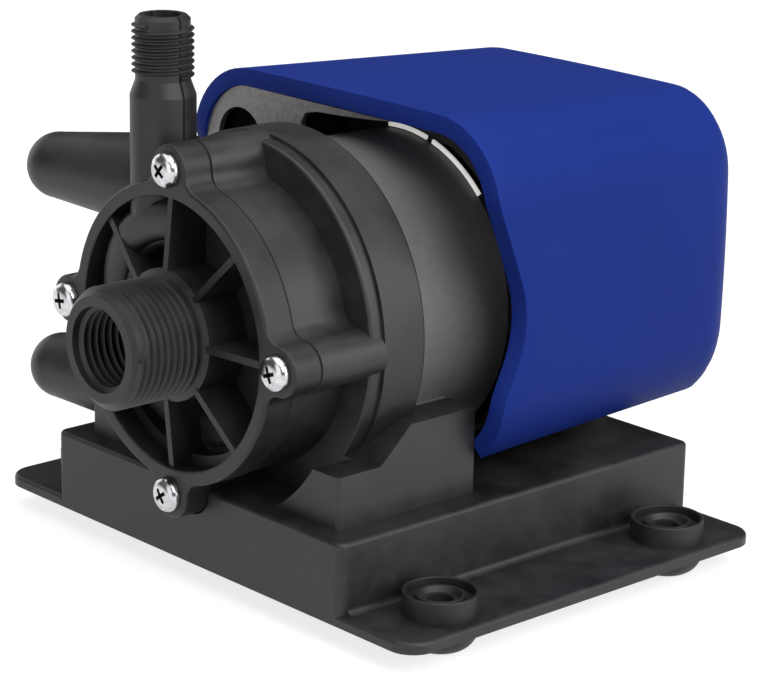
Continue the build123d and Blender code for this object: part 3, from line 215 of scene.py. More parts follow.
def materials(look):
    """All finishes: by the record's slot names, and some by names of their own, which SPECIAL gives to nodes."""
    return {
        # ABS, moulded and coloured right through: an even satin skin with hardly any gloss
        "shroud_plastic": moulded_plastic("ABS moulded blue", look.blue, look.blue_worn, 0.55, 0.35, 0.12, 30, 0.03,
                                          gleam=0.06),
        # Glass-filled polypropylene, moulded: fibres near the skin give cloudy grey bands on a black ground
        "black_plastic": moulded_plastic("Glass-filled polypropylene", look.black, look.black_worn, 0.47, 0.5, 0.2, 9,
                                         gleam=BLACK_GLEAM),
        # The same plastic, moulded against a spark-eroded tool at the neck: there it is duller, and painted paler as
        # a highlight
        "bracket": head_plastic("Glass-filled polypropylene with a textured neck", look, 0.55),
        # The same plastic on the cover, whose ribbed front shines a little less
        "cover": head_plastic("Glass-filled polypropylene of the cover", look, 0.42),
        # Nitrile rubber, moulded: duller and finer than the plastic
        "rubber": moulded_plastic("Nitrile rubber moulded", look.rubber, look.rubber_worn, 0.55, 0.3, 0.25, 5),
        # Steel, zinc-plated: bright, slightly uneven
        "zinc_steel": metal("Zinc-plated steel", look.zinc, look.zinc_dark, 0.22, 1.2, 0.15),
        # The same plating inside a stamped recess, drawn dark and dull as painted shade
        "dull": metal("Zinc-plated steel, painted shade", linear("4a4a4c"), linear("2e2e30"), 0.6, 0.6, 0.3),
        # Steel, turned, with a bright zinc coat: pale, with soft reflections
        "bright_steel": metal("Turned steel", linear("f0f0f0"), linear("dcdcde"), 0.35, 0.8, 0.1),
        # White nylon, moulded thin, with a painted glow that keeps it bright in the shade
        "strips": nylon("Nylon moulded white with a painted glow", look.nylon, look.nylon_shade),
        # Aluminium, die-cast: a dull grey skin with flow marks
        "casting": metal("Die-cast aluminium", linear("989596"), linear("747172"), 0.5, 1.4, 0.5),
        # The same casting, painted black: a dull coat that follows the skin below it
        "painted": moulded_plastic("Aluminium casting painted black", linear("302e2f"), linear("3b393a"), 0.6, 0.6,
                                   0.3, gleam=0.25),
        # Steel, turned, drawn dark with a trace of metal shine: painted shade for the adapter ring inside the shroud
        "painted_shade_dark": metal("Steel blackened", linear("3a3a3c"), linear("2c2c2e"), 0.45, 0.8, 0.1),
        # Ferrite, sintered: dark grey and dry, with a fine grain
        "magnet": moulded_plastic("Ferrite sintered", linear("3a393b"), linear("4c4b4d"), 0.5, 0.4, 0.3),
        # Alumina, ground: off-white, smooth and close to polished
        "ceramic": moulded_plastic("Alumina ceramic ground", linear("e6e2d6"), linear("d8d3c6"), 0.2, 0.3, 0.05),
        # Bronze, sintered and soaked in oil: a brown yellow with open pores
        "bronze": metal("Sintered bronze", linear("a5793f"), linear("7d5a2e"), 0.45, 0.4, 0.4),
        # Copper wire, enamelled: a glossy orange brown
        "copper": metal("Enamelled copper wire", linear("b4622f"), linear("8c4722"), 0.3, 0.7, 0.3),
        # Electrical steel, stamped in sheets and stacked: grey, with a fine streaky edge
        "lamination": metal("Electrical steel stamped", linear("8b8b8e"), linear("6c6c70"), 0.4, 0.35, 0.4),
    }


# Making pieces

def keep(shape, name, material, smooth=40.0, body=BODY, replaces=()):
    """Turns a bmesh into a finished object that rides on a body."""
    mesh = bpy.data.meshes.new(name)
    shape.to_mesh(mesh)
    shape.free()
    thing = bpy.data.objects.new(name, mesh)
    bpy.context.scene.collection.objects.link(thing)
    mesh.materials.append(material)
    shade_by_angle(mesh, radians(smooth))
    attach(thing, body)
    if replaces:
        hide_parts(*replaces)
    return thing


def shade_by_angle(mesh, limit):
    """Smooth faces, with a sharp edge wherever two faces meet at more than the limit."""
    shape = bmesh.new()
    shape.from_mesh(mesh)
    for face in shape.faces:
        face.smooth = True
    for edge in shape.edges:
        if len(edge.link_faces) == 2:
            edge.smooth = edge.calc_face_angle(0) < limit
    shape.to_mesh(mesh)
    shape.free()


def outline(shape, points):
    """A closed loop of edges through points."""
    verts = [shape.verts.new(point) for point in points]
    return [shape.edges.new((verts[i], verts[(i + 1) % len(verts)])) for i in range(len(verts))]


# The shroud, in millimetres along Y and from the pump axis

SHROUD_FRONT, SHROUD_LENGTH = -11.8, 89.0
SHROUD_HALF, SHROUD_HALF_REAR = 51.5, 43.8     # half its width
SHROUD_TOP, SHROUD_TOP_REAR = 47.2, 43.6
SHROUD_LOW, SHROUD_CUT = -32.5, -27.2          # where the section closes, and where it is cut open below
SHROUD_CROWN, SHROUD_BULGE = 0.6, 1.5          # how far the top and the sides stand out in their middles
SHROUD_CORNER, SHROUD_CORNER_LOW = 18.0, 19.5  # radii of the section's corners
SHROUD_EDGE = 13.5                             # radius of the rounded rear edge
SHROUD_WALL, SHROUD_RIM = 4.0, 0.7
SCOOP_TOP, SCOOP_MIDDLE, SCOOP_LOW = 30.7, 3.4, -13.6   # where the side edge turns
SCOOP_DEPTH, SCOOP_REST = 10.5, 3.0            # how far back its angle and its lower part lie
SCOOP_ROUND, SCOOP_ROUND_TOP, SCOOP_ROUND_LOW = 8.2, 0.8, 1.0
SCOOP_REACH = 22.0                             # how far along the shroud the scoop fades out


def shroud_stations():
    """Y, and how far the section is drawn in, from the front to the middle of the rounded rear edge."""
    straight = [i / 8 for i in range(1, 9)]
    body = [((SHROUD_LENGTH - SHROUD_EDGE) * t, 0.0) for t in straight]
    turn = [radians(9 * i) for i in range(1, 11)]
    return body + [(SHROUD_LENGTH - SHROUD_EDGE * (1 - sin(a)), SHROUD_EDGE * (1 - cos(a))) for a in turn]


def shroud_half(along, inset):
    """Half width, top and bottom of the section at a distance behind the front, drawn in by an inset."""
    t = along / SHROUD_LENGTH
    half = SHROUD_HALF + (SHROUD_HALF_REAR - SHROUD_HALF) * t - inset
    top = SHROUD_TOP + (SHROUD_TOP_REAR - SHROUD_TOP) * t - inset
    return half, top, SHROUD_LOW + inset


def scoop(rise):
    """How far the front edge runs back at a height from the pump axis: a rounded angle, then straight down."""
    upper = SCOOP_DEPTH * (SCOOP_TOP - rise) / (SCOOP_TOP - SCOOP_MIDDLE)
    lower = SCOOP_REST + (SCOOP_DEPTH - SCOOP_REST) * (rise - SCOOP_LOW) / (SCOOP_MIDDLE - SCOOP_LOW)
    upper = -soft_min(-upper, 0.0, SCOOP_ROUND_TOP)
    lower = -soft_min(-lower, -SCOOP_REST, SCOOP_ROUND_LOW)
    return soft_min(upper, lower, SCOOP_ROUND)


def soft_min(a, b, width):
    """The smaller of two values, with a rounded change from one to the other."""
    near = max(0.0, width - abs(a - b))
    return min(a, b) - near * near / (4 * width)


def loop_of(verts):
    """The edges that join the given vertices to each other."""
    return [e for e in {e for v in verts for e in v.link_edges} if all(v in verts for v in e.verts)]


def shroud_shape():
    """A rounded, crowned section drawn out along Y, closed behind, cut open below and scooped in front."""
    shape = bmesh.new()
    half, top, low = shroud_half(0, 0)
    side = half - SHROUD_BULGE
    corners = [(-side, low), (side, low), (side, top - SHROUD_CROWN), (-side, top - SHROUD_CROWN)]
    outline(shape, [(x, 0, z) for x, z in corners])
    for is_top, radius in ((True, SHROUD_CORNER), (False, SHROUD_CORNER_LOW)):
        verts = [v for v in shape.verts if (v.co.z > 0) == is_top]
        bmesh.ops.bevel(shape, geom=verts, offset=radius, offset_type="OFFSET", segments=14, profile=0.5,
                        affect="VERTICES", material=-1)
    long_edges = [e for e in shape.edges if e.calc_length() > 10]
    bmesh.ops.subdivide_edges(shape, edges=long_edges, cuts=15)
    middle, reach = (top + low) / 2, (top - low) / 2
    for vert in shape.verts:
        x, z = vert.co.x, vert.co.z
        if z > 0:
            vert.co.z += SHROUD_CROWN * (1 - (x / side) ** 2)
        bulge = SHROUD_BULGE * (1 - ((z - middle) / reach) ** 2) * min(1, abs(x) / side)
        vert.co.x += bulge if x > 0 else -bulge
    edges, before = list(shape.edges), (0.0, half, top, low)
    for along, inset in shroud_stations():
        made = bmesh.ops.extrude_edge_only(shape, edges=edges)["geom"]
        ring = [g for g in made if isinstance(g, bmesh.types.BMVert)]
        edges = loop_of(set(ring))
        now = (along, *shroud_half(along, inset))
        for vert in ring:
            vert.co.x *= now[1] / before[1]
            vert.co.z = now[3] + (vert.co.z - before[3]) * (now[2] - now[3]) / (before[2] - before[3])
            vert.co.y = along
        before = now
    bmesh.ops.edgeloop_fill(shape, edges=edges)
    cut = [*shape.verts, *shape.edges, *shape.faces]
    bmesh.ops.bisect_plane(shape, geom=cut, plane_co=(0, 0, SHROUD_CUT), plane_no=(0, 0, -1), clear_outer=True)
    for vert in shape.verts:
        vert.co.y += scoop(vert.co.z) * max(0.0, 1 - vert.co.y / SCOOP_REACH)
    bmesh.ops.recalc_face_normals(shape, faces=shape.faces)
    for vert in shape.verts:
        vert.co = Vector((vert.co.x * MM, (vert.co.y + SHROUD_FRONT) * MM, vert.co.z * MM + AXIS_Z))
    return shape


class PUMP_OT_shroud(bpy.types.Operator):
    """Makes the blue shroud over the motor"""
    bl_idname = "pump.shroud"
    bl_label = "Shroud"

    def execute(self, context):
        thing = keep(shroud_shape(), "shroud_shell", bpy.data.materials["ABS moulded blue"],
                     replaces=["motor_shroud"])
        wall = thing.modifiers.new("wall", "SOLIDIFY")
        wall.thickness = SHROUD_WALL * MM
        wall.offset = -1
        wall.use_even_offset = True
        rim = thing.modifiers.new("rim", "BEVEL")
        rim.width = SHROUD_RIM * MM
        rim.segments = 3
        rim.limit_method = "ANGLE"
        rim.angle_limit = radians(50)
        return {"FINISHED"}


# Threads, in metres

THREAD_STEPS = 72        # in one turn
THREAD_FADE = 0.35       # of the pitch: how soon a thread runs out at each end
INLET_FACE = Vector((0, -0.0782, AXIS_Z))
OUTLET_FOOT = Vector((-0.0109, -0.0523, 0.1119))
# Start along the axis, number of turns, and the radii at the root and the crest
INLET_OUTER = (0.0004, 8.4, 0.0124, 0.0133)
INLET_INNER = (0.0006, 7.0, 0.0094, 0.0083)
OUTLET_OUTER = (0.0001, 7.8, 0.0058, 0.0067)


def thread(centre, axis, pitch, start, turns, root, crest):
    """A helical ridge: a small section spun about the axis and moved along it, tapered out at both ends."""
    shape = bmesh.new()
    side = Vector((1, 0, 0))
    rows = ((0.08, root), (0.44, crest), (0.56, crest), (0.92, root))     # along the axis, in parts of the pitch
    verts = [shape.verts.new(centre + axis * (start + pitch * along) + side * radius) for along, radius in rows]
    face = shape.faces.new(verts)
    bmesh.ops.spin(shape, geom=[face], cent=centre, axis=axis, dvec=axis * (pitch / THREAD_STEPS),
                   angle=2 * pi * turns, steps=int(THREAD_STEPS * turns), use_merge=False)
    bmesh.ops.recalc_face_normals(shape, faces=shape.faces)
    fade = pitch * THREAD_FADE
    length = pitch * (turns + 1)
    for vert in shape.verts:
        local = vert.co - centre
        along = local.dot(axis)
        radial = local - axis * along
        ease = min(1.0, (along - start) / fade, (start + length - along) / fade)
        radius = radial.length
        vert.co = centre + axis * along + radial * ((root + (radius - root) * max(0.0, ease)) / radius)
    return shape


class PUMP_OT_threads(bpy.types.Operator):
    """Cuts the threads of the inlet and the outlet"""
    bl_idname = "pump.threads"
    bl_label = "Threads"

    def execute(self, context):
        sizes = context.scene.pump_sizes
        plastic = bpy.data.materials["Glass-filled polypropylene"]
        into, up = Vector((0, 1, 0)), Vector((0, 0, 1))
        outer = thread(INLET_FACE, into, sizes.inlet_pitch, *INLET_OUTER)
        keep(outer, "inlet_outer_thread", plastic)
        inner = thread(INLET_FACE, into, sizes.inlet_pitch, *INLET_INNER)
        keep(inner, "inlet_inner_thread", plastic)
        outlet = thread(OUTLET_FOOT, up, sizes.outlet_pitch, *OUTLET_OUTER)
        keep(outlet, "outlet_outer_thread", plastic)
        return {"FINISHED"}


# The scroll's crown, in millimetres and degrees about the pump axis

FLOOR_Y = -50.0          # of the recess in the cover
CROWN = ((19.9, 0), (19.9, 6.8), (20.8, 8.5), (22.6, 9.35), (24.9, 9.6), (27.0, 9.25), (28.4, 8.1), (29.0, 6.3),
         (29.2, 0))      # radius and height above the floor, where the crown stands highest
CROWN_HEIGHT = 9.6
CROWN_START, CROWN_END, CROWN_PEAK = 92.4, 267.0, 115.0
CROWN_MIDDLE, CROWN_SWING = 5.2, 4.4           # its height goes up and down about a middle value
CROWN_INNER, CROWN_WIDTH, CROWN_NARROW = 19.9, 9.3, 2.0
CROWN_SPREAD = 1.2       # how soon it narrows on both sides of its peak


class PUMP_OT_scroll_crown(bpy.types.Operator):
    """Makes the rounded crown of the scroll in the cover's recess, from the top rib round the left to the lowest"""
    bl_idname = "pump.scroll_crown"
    bl_label = "Scroll crown"

    def execute(self, context):
        shape = bmesh.new()
        turn = radians(CROWN_START)
        verts = [shape.verts.new((radius * cos(turn), FLOOR_Y - height, radius * sin(turn)))
                 for radius, height in CROWN]
        face = shape.faces.new(verts)
        bmesh.ops.spin(shape, geom=[face], cent=(0, 0, 0), axis=(0, -1, 0), angle=radians(CROWN_END - CROWN_START),
                       steps=90, use_merge=False)
        for vert in shape.verts:
            angle = atan2(vert.co.z, vert.co.x) % (2 * pi) - radians(CROWN_PEAK)
            rise = (CROWN_MIDDLE + CROWN_SWING * cos(angle)) / CROWN_HEIGHT
            radius = sqrt(vert.co.x ** 2 + vert.co.z ** 2)
            narrow = CROWN_NARROW * (1 - max(0.0, cos(CROWN_SPREAD * angle)))
            scale = 1 - narrow * (radius - CROWN_INNER) / CROWN_WIDTH / radius
            vert.co = Vector((vert.co.x * scale, FLOOR_Y + (vert.co.y - FLOOR_Y) * rise, vert.co.z * scale))
        bmesh.ops.recalc_face_normals(shape, faces=shape.faces)
        bmesh.ops.transform(shape, verts=shape.verts, matrix=Matrix.Translation((0, 0, AXIS_Z)) @ Matrix.Scale(MM, 4))
        keep(shape, "scroll_crown", bpy.data.materials["Glass-filled polypropylene of the cover"])
        return {"FINISHED"}


# The cast edge, the earth screw's cup and washer, and the seal strips, in millimetres along Y and from the pump axis.
# The cup is a dark lining of painted shade.

CAST_FACE, CAST_BACK = -11.3, -9.9
CAST_LEFT, CAST_TOP, CAST_CORNER, CAST_LOW = -46.9, 42.8, 13.5, 24.0
CAST_ROUND = 38.4        # radius of its lower edge
CAST_RIGHT = ((16.5, 42.8), (10.0, 42.1), (0.0, 41.3), (-8.0, 40.9), (-12.0, 40.0), (-13.4, 38.0))   # its upper edge
ARCH_X, ARCH_RISE, ARCH_RADIUS = -34.8, 29.7, 7.8
LUG_FACE = -6.0          # of the lug that carries the earth screw
EARTH_X, EARTH_RISE = -38.0, 31.5
POCKET_END = LUG_FACE + 4.95                   # the floor of the earth screw's pocket
CUP_X, CUP_RISE, CUP_RADIUS = ARCH_X - 1.5, ARCH_RISE + 1.5, 10.5      # the cup's flange, which lies on the lug
CUP_FRONT, CUP_BACK, CUP_MOUTH = LUG_FACE - 0.6, LUG_FACE - 0.05, LUG_FACE - 0.3
CUP_HOLE, CUP_OUTER, CUP_INNER = 5.1, 5.35, 5.0      # radii of the flange's hole and of the cup's wall
WASHER_OUTER, WASHER_INNER, WASHER_FRONT = 4.8, 3.6, LUG_FACE + 3.6
STRIP_INNER, STRIP_OUTER = 36.4, 37.3
STRIP_FRONT, STRIP_BACK = 5.9, 6.45
STRIP_TURNS = ((75.5, 95.0), (44.5, 72.5))     # where each length of strip starts and ends, in degrees


def arc(x, rise, radius, start, end, steps=24):
    """Points of an arc about a place given from the pump axis, in millimetres."""
    turns = [radians(start + (end - start) * i / steps) for i in range(steps + 1)]
    return [(x + radius * cos(a), rise + radius * sin(a)) for a in turns]


def whole_circle(x, rise, radius):
    """Points of a whole circle, six degrees apart."""
    return arc(x, rise, radius, 0, 354, 59)


def slab(shape, loops, front, back):
    """A plate between two Y planes, from an outer loop and any loops of holes in it."""
    edges = []
    for points in loops:
        edges += outline(shape, [(x * MM, front * MM, AXIS_Z + rise * MM) for x, rise in points])
    old = set(shape.faces)
    bmesh.ops.triangle_fill(shape, edges=edges, use_beauty=True)
    made = bmesh.ops.extrude_face_region(shape, geom=[f for f in shape.faces if f not in old])["geom"]
    moved = [g for g in made if isinstance(g, bmesh.types.BMVert)]
    bmesh.ops.translate(shape, verts=moved, vec=(0, (back - front) * MM, 0))
    bmesh.ops.recalc_face_normals(shape, faces=shape.faces)


class PUMP_OT_earth_corner(bpy.types.Operator):
    """Makes the cast edge with its arched opening, and the cup and washer of the earth screw behind it; the black cup
    is painted shade in the arch and the pocket
    """
    bl_idname = "pump.earth_corner"
    bl_label = "Earth corner"

    def execute(self, context):
        low = degrees(acos((ARCH_X + ARCH_RADIUS) / CAST_ROUND))
        high = degrees(acos(CAST_RIGHT[-1][0] / CAST_ROUND))
        points = arc(0, 0, CAST_ROUND, high, low) + arc(ARCH_X, ARCH_RISE, ARCH_RADIUS, 0, 180)
        points += [(ARCH_X - ARCH_RADIUS, CAST_LOW), (CAST_LEFT, CAST_LOW)]
        points += arc(CAST_LEFT + CAST_CORNER, CAST_TOP - CAST_CORNER, CAST_CORNER, 180, 90) + list(CAST_RIGHT)
        shape = bmesh.new()
        slab(shape, [points], CAST_FACE, CAST_BACK)
        keep(shape, "cast_edge", bpy.data.materials["Die-cast aluminium"])
        # Painted shade: the cup of black plastic darkens the arch and the screw's pocket.
        shape = bmesh.new()
        slab(shape, [whole_circle(CUP_X, CUP_RISE, CUP_RADIUS), whole_circle(EARTH_X, EARTH_RISE, CUP_HOLE)],
             CUP_FRONT, CUP_BACK)
        slab(shape, [whole_circle(EARTH_X, EARTH_RISE, CUP_OUTER), whole_circle(EARTH_X, EARTH_RISE, CUP_INNER)],
             CUP_MOUTH, POCKET_END)
        keep(shape, "earth_shade_cup", bpy.data.materials["Glass-filled polypropylene"])
        shape = bmesh.new()
        slab(shape, [whole_circle(EARTH_X, EARTH_RISE, radius) for radius in (WASHER_OUTER, WASHER_INNER)],
             WASHER_FRONT, POCKET_END)
        keep(shape, "earth_washer", bpy.data.materials["Zinc-plated steel"])
        return {"FINISHED"}


class PUMP_OT_seal_strips(bpy.types.Operator):
    """Makes the two lengths of white sealing strip on the adapter ring, at its upper right"""
    bl_idname = "pump.seal_strips"
    bl_label = "Seal strips"

    def execute(self, context):
        shape = bmesh.new()
        for start, end in STRIP_TURNS:
            slab(shape, [arc(0, 0, STRIP_OUTER, start, end) + arc(0, 0, STRIP_INNER, end, start)],
                 STRIP_FRONT, STRIP_BACK)
        keep(shape, "seal_strips", bpy.data.materials["Nylon moulded white with a painted glow"])
        return {"FINISHED"}


# The head's screws, in millimetres

BOSS_CIRCLE = 36.0
RIM_Y = -59.7            # of the faces that the screws lie on
SCREW_RADIUS, SCREW_HEIGHT = 3.9, 2.5
RECESS_RADIUS, RECESS_DEPTH = 1.75, 1.6
SCREW_PLACES = (0, 90, 180, 270)   # round the boss circle, in degrees
SCREW_TURNS = (20, 50, 10, 35)     # how far each screw was turned home, in degrees


def pan_head(shape, radius, height):
    """A pan head above Z = 0 with a washer-like foot, closed below."""
    rows = [(radius * 0.97, 0.0), (radius, height * 0.06), (radius, height * 0.3), (radius * 0.97, height * 0.5),
            (radius * 0.88, height * 0.72), (radius * 0.7, height * 0.88), (radius * 0.45, height * 0.97),
            (radius * 0.2, height)]
    verts = [shape.verts.new((r, 0, z)) for r, z in rows]
    edges = [shape.edges.new(pair) for pair in zip(verts, verts[1:])]
    bmesh.ops.spin(shape, geom=verts + edges, cent=(0, 0, 0), axis=(0, 0, 1), angle=2 * pi, steps=48,
                   use_merge=True)
    bmesh.ops.remove_doubles(shape, verts=shape.verts, dist=1e-7)
    bmesh.ops.holes_fill(shape, edges=shape.edges, sides=0)
    bmesh.ops.recalc_face_normals(shape, faces=shape.faces)


def cross_recess(shape, radius, depth, height):
    """The cutter of a cross recess: two tapered wings and a pointed middle, from above the head down."""
    for turn in (0, pi / 2):
        made = bmesh.ops.create_cube(shape, size=1.0)["verts"]
        for vert in made:
            low = vert.co.z < 0
            vert.co.x *= 2 * radius * (0.8 if low else 1.25)
            vert.co.y *= 2 * radius * (0.2 if low else 0.3)
            vert.co.z = height - depth if low else height + depth
        bmesh.ops.rotate(shape, verts=made, cent=(0, 0, 0), matrix=Matrix.Rotation(turn, 3, "Z"))
    made = bmesh.ops.create_cone(shape, segments=12, radius1=radius * 0.1, radius2=radius * 0.6,
                                 depth=2.4 * depth, cap_ends=True)["verts"]
    bmesh.ops.translate(shape, verts=made, vec=(0, 0, height))


def carve(thing, cutter_shape, inside):
    """Cuts a bmesh out of an object for good, with a material of its own inside the cut."""
    mesh = bpy.data.meshes.new("cutter")
    cutter_shape.to_mesh(mesh)
    cutter_shape.free()
    mesh.materials.append(inside)
    cutter = bpy.data.objects.new("cutter", mesh)
    bpy.context.scene.collection.objects.link(cutter)
    cut = thing.modifiers.new("cut", "BOOLEAN")
    cut.operation = "DIFFERENCE"
    cut.solver = "EXACT"
    cut.use_self = True
    cut.material_mode = "TRANSFER"
    cut.object = cutter
    graph = bpy.context.evaluated_depsgraph_get()
    result = bpy.data.meshes.new_from_object(thing.evaluated_get(graph))
    thing.modifiers.clear()
    thing.data = result
    bpy.data.objects.remove(cutter)


def screw_head(angle, turn, zinc, shadow):
    """The mesh of one head with its cross recess, at its place on the boss circle."""
    shape = bmesh.new()
    pan_head(shape, SCREW_RADIUS, SCREW_HEIGHT)
    mesh = bpy.data.meshes.new("head")
    shape.to_mesh(mesh)
    shape.free()
    mesh.materials.append(zinc)
    thing = bpy.data.objects.new("head", mesh)
    bpy.context.scene.collection.objects.link(thing)
    cutter = bmesh.new()
    cross_recess(cutter, RECESS_RADIUS, RECESS_DEPTH, SCREW_HEIGHT)
    carve(thing, cutter, shadow)
    mesh = thing.data
    bpy.data.objects.remove(thing)
    centre = Vector((BOSS_CIRCLE * cos(radians(angle)) * MM, RIM_Y * MM,
                     AXIS_Z + BOSS_CIRCLE * sin(radians(angle)) * MM))
    spin, lie = Matrix.Rotation(radians(turn), 4, "Z"), Matrix.Rotation(radians(90), 4, "X")
    mesh.transform(Matrix.Translation(centre) @ lie @ spin @ Matrix.Scale(MM, 4))
    return mesh


class PUMP_OT_screws(bpy.types.Operator):
    """Makes the four screws of the pump head, with cross recesses"""
    bl_idname = "pump.screws"
    bl_label = "Head screws"

    def execute(self, context):
        zinc, shadow = bpy.data.materials["Zinc-plated steel"], bpy.data.materials["Zinc-plated steel, painted shade"]
        whole = bmesh.new()
        for angle, turn in zip(SCREW_PLACES, SCREW_TURNS):
            whole.from_mesh(screw_head(angle, turn, zinc, shadow))
        thing = keep(whole, "head_screws", zinc, smooth=35, replaces=["housing_screws"])
        thing.data.materials.append(shadow)
        return {"FINISHED"}


# Settings and finishes

def colour_property(name, description, code):
    """A colour that a user can change, from an sRGB hex value."""
    return bpy.props.FloatVectorProperty(name=name, description=description, subtype="COLOR", size=3,
                                         min=0, max=1, default=linear(code))


def length_property(name, description, value):
    """A length that a user can change."""
    return bpy.props.FloatProperty(name=name, description=description, subtype="DISTANCE", unit="LENGTH",
                                   default=value, min=0)


class PumpLook(bpy.types.PropertyGroup):
    blue: colour_property("Shroud", "Colour of the moulded shroud", "172b76")
    blue_worn: colour_property("Shroud, lighter", "Where the shroud is a little lighter", "192e7b")
    black: colour_property("Black plastic", "Darker tone of the black mouldings", "151415")
    black_worn: colour_property("Black plastic, lighter", "Where fibres lie near the skin", "282627")
    # The neck's pale tones are a painted highlight; the speckle between them is the texture.
    neck: colour_property("Neck", "Darker tone of the textured neck", "5e5b5d")
    neck_highlight_speck: colour_property("Neck, lighter", "Where the texture catches the light", "696668")
    # The joint colour also paints the band's shadow at the foot of the neck.
    joint: colour_property("Joint lines", "Inside the joint and the groove of the pump head", "050505")
    rubber: colour_property("Rubber", "Colour of the grommets", "151415")
    rubber_worn: colour_property("Rubber, lighter", "Where the rubber is dusty", "1b191a")
    nylon: colour_property("Seal strips", "Colour of the white nylon strips", "f2f0ec")
    nylon_shade: colour_property("Seal strips, darker", "Where the nylon is stained", "e2dfda")
    zinc: colour_property("Zinc", "Colour of the plated screws", "d8d8da")
    zinc_dark: colour_property("Zinc, darker", "Where the plating is dull", "b0b0b4")


class PumpSizes(bpy.types.PropertyGroup):
    inlet_pitch: length_property("Inlet thread pitch", "From crest to crest", 0.001814)
    outlet_pitch: length_property("Outlet thread pitch", "From crest to crest", 0.001411)


# Nodes whose finish differs from their slot's
# The adapter ring's dark steel is painted shade.
SPECIAL = {"pump_bracket": "bracket", "front_housing": "cover", "adapter_ring": "painted_shade_dark",
           "motor_front_shield": "painted"}


class PUMP_OT_finishes(bpy.types.Operator):
    """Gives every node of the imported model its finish"""
    bl_idname = "pump.finishes"
    bl_label = "Finishes"

    def execute(self, context):
        made = materials(context.scene.pump_look)
        slots = {row["node"]: row["material_slot"] for row in frame["record"]["subparts"]}
        for name, thing in frame["nodes"].items():
            thing.data.materials.clear()
            thing.data.materials.append(made[SPECIAL.get(name, slots[name])])
        return {"FINISHED"}


# The studio

PAPER = 0.35             # the floor's own grey, which takes the object's shadow
GLOW = 0.78              # what the camera and the reflections see on top of it
WORLD_LIGHT = 0.12
LAMP_AIM = Vector((0, 0, 0.06))
# Name, place in metres, size in metres, power in watts
LAMPS = (("key", (1.0, 0.5, 0.5), 0.9, 8.0),
         ("side", (0.95, -0.2, 0.8), 0.6, 6.5),
         ("top", (0.1, -0.1, 1.5), 2.2, 25.0),
         ("fill", (0.3, -1.4, 0.4), 1.2, 6.5),
         ("left", (-1.3, -0.1, 0.35), 0.9, 3.5))
VIEW_AZIMUTH = radians(47.45)     # from the inlet side towards +X
VIEW_HEIGHT = radians(16.41)
VIEW_ROLL = radians(1.03)
VIEW_DISTANCE = 0.6182            # in metres
VIEW_TARGET = Vector((0.02207, -0.0175, 0.05527))
VIEW_LENS = 133.02                # in millimetres, for a sensor 36 mm wide


class PUMP_OT_stage(bpy.types.Operator):
    """Sets the floor, the lights and the camera"""
    bl_idname = "pump.stage"
    bl_label = "Studio"

    def execute(self, context):
        floor()
        lights()
        camera()
        return {"FINISHED"}


def floor():
    """A sheet of white paper that shows the object's shadow and is white all round it."""
    shape = bmesh.new()
    bmesh.ops.create_grid(shape, x_segments=1, y_segments=1, size=6)
    mesh = bpy.data.meshes.new("floor")
    shape.to_mesh(mesh)
    shape.free()
    thing = bpy.data.objects.new("floor", mesh)
    bpy.context.scene.collection.objects.link(thing)
    # Paper, uncoated: white and quite matt
    material, tree = new_material("Backdrop paper white")
    paper = add(tree, "ShaderNodeBsdfDiffuse", {"Color": (PAPER, PAPER, PAPER, 1)})
    seen = add(tree, "ShaderNodeMath", {0: seen_rays(tree), 1: GLOW}, operation="MULTIPLY")
    glow = add(tree, "ShaderNodeEmission", {"Color": (1, 1, 1, 1), "Strength": seen})
    both = add(tree, "ShaderNodeAddShader", {0: paper, 1: glow})
    add(tree, "ShaderNodeOutputMaterial", {"Surface": both})
    mesh.materials.append(material)


def seen_rays(tree):
    """One for rays that see the background itself, straight on or in a reflection, and zero for the light."""
    path = add(tree, "ShaderNodeLightPath")
    seen = path.outputs["Is Camera Ray"]
    for ray in ("Is Glossy Ray", "Is Transmission Ray"):
        seen = add(tree, "ShaderNodeMath", {0: seen, 1: path.outputs[ray]}, operation="MAXIMUM")
    return seen


def lights():
    """A weak white world, and the lamps, all aimed at the pump."""
    world = bpy.data.worlds.new("Studio")
    bpy.context.scene.world = world
    world.use_nodes = True
    tree = world.node_tree
    tree.nodes.clear()
    back = add(tree, "ShaderNodeBackground", {"Color": (1, 1, 1, 1), "Strength": WORLD_LIGHT})
    add(tree, "ShaderNodeOutputWorld", {"Surface": back})
    for name, place, size, power in LAMPS:
        lamp = bpy.data.lights.new(name, "AREA")
        lamp.size = size
        lamp.energy = power
        thing = bpy.data.objects.new(name, lamp)
        thing.location = place
        thing.rotation_euler = (Vector(place) - LAMP_AIM).to_track_quat("Z", "Y").to_euler()
        bpy.context.scene.collection.objects.link(thing)


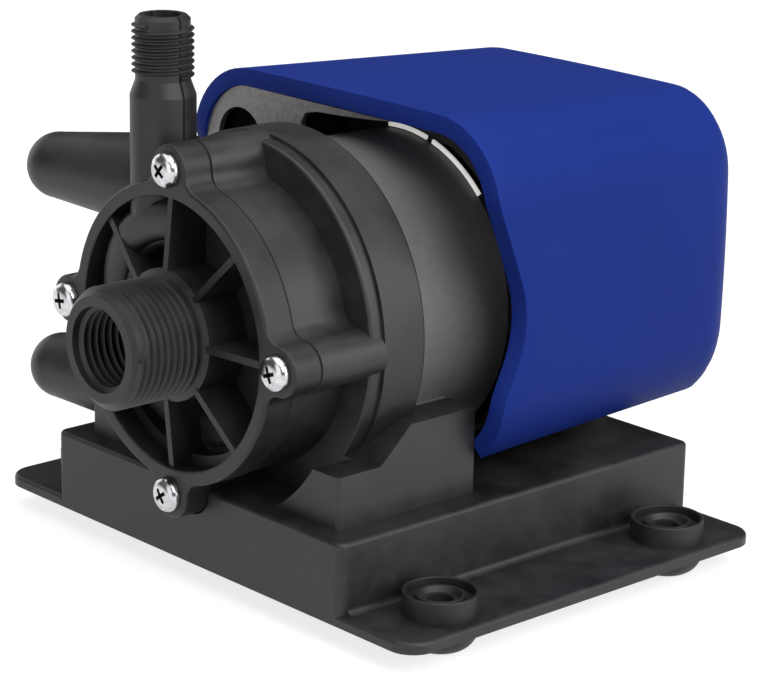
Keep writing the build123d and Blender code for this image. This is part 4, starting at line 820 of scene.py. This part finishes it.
def camera():
    """The photo's view of the pump, with its slight roll."""
    back = Vector((sin(VIEW_AZIMUTH) * cos(VIEW_HEIGHT), -cos(VIEW_AZIMUTH) * cos(VIEW_HEIGHT), sin(VIEW_HEIGHT)))
    right = Vector((0, 0, 1)).cross(back).normalized()
    up = back.cross(right)
    across = cos(VIEW_ROLL) * right + sin(VIEW_ROLL) * up
    upright = cos(VIEW_ROLL) * up - sin(VIEW_ROLL) * right
    lens = bpy.data.cameras.new("camera")
    lens.lens = VIEW_LENS
    lens.sensor_width = 36
    lens.sensor_fit = "HORIZONTAL"
    lens.clip_start = 0.01
    thing = bpy.data.objects.new("camera", lens)
    turn = Matrix((across, upright, back)).transposed().to_4x4()
    thing.matrix_world = Matrix.Translation(VIEW_TARGET + back * VIEW_DISTANCE) @ turn
    bpy.context.scene.collection.objects.link(thing)
    bpy.context.scene.camera = thing
    bpy.context.scene.view_settings.view_transform = "Standard"


# The add-on

class PUMP_PT_panel(bpy.types.Panel):
    """Lists the steps that build the pump and its studio"""
    bl_label = "Pump"
    bl_idname = "PUMP_PT_panel"
    bl_space_type = "VIEW_3D"
    bl_region_type = "UI"
    bl_category = "Pump"

    def draw(self, context):
        for step in STEPS:
            self.layout.operator(step.bl_idname)


STEPS = (PUMP_OT_finishes, PUMP_OT_shroud, PUMP_OT_threads, PUMP_OT_screws, PUMP_OT_scroll_crown,
         PUMP_OT_earth_corner, PUMP_OT_seal_strips, PUMP_OT_stage)
CLASSES = (PumpLook, PumpSizes, *STEPS, PUMP_PT_panel)


def register():
    for item in CLASSES:
        bpy.utils.register_class(item)
    bpy.types.Scene.pump_look = bpy.props.PointerProperty(type=PumpLook)
    bpy.types.Scene.pump_sizes = bpy.props.PointerProperty(type=PumpSizes)


def unregister():
    del bpy.types.Scene.pump_sizes
    del bpy.types.Scene.pump_look
    for item in reversed(CLASSES):
        bpy.utils.unregister_class(item)


def main():
    register()
    for step in STEPS:
        group, name = step.bl_idname.split(".")
        getattr(getattr(bpy.ops, group), name)()


if __name__ == "__main__":
    main()
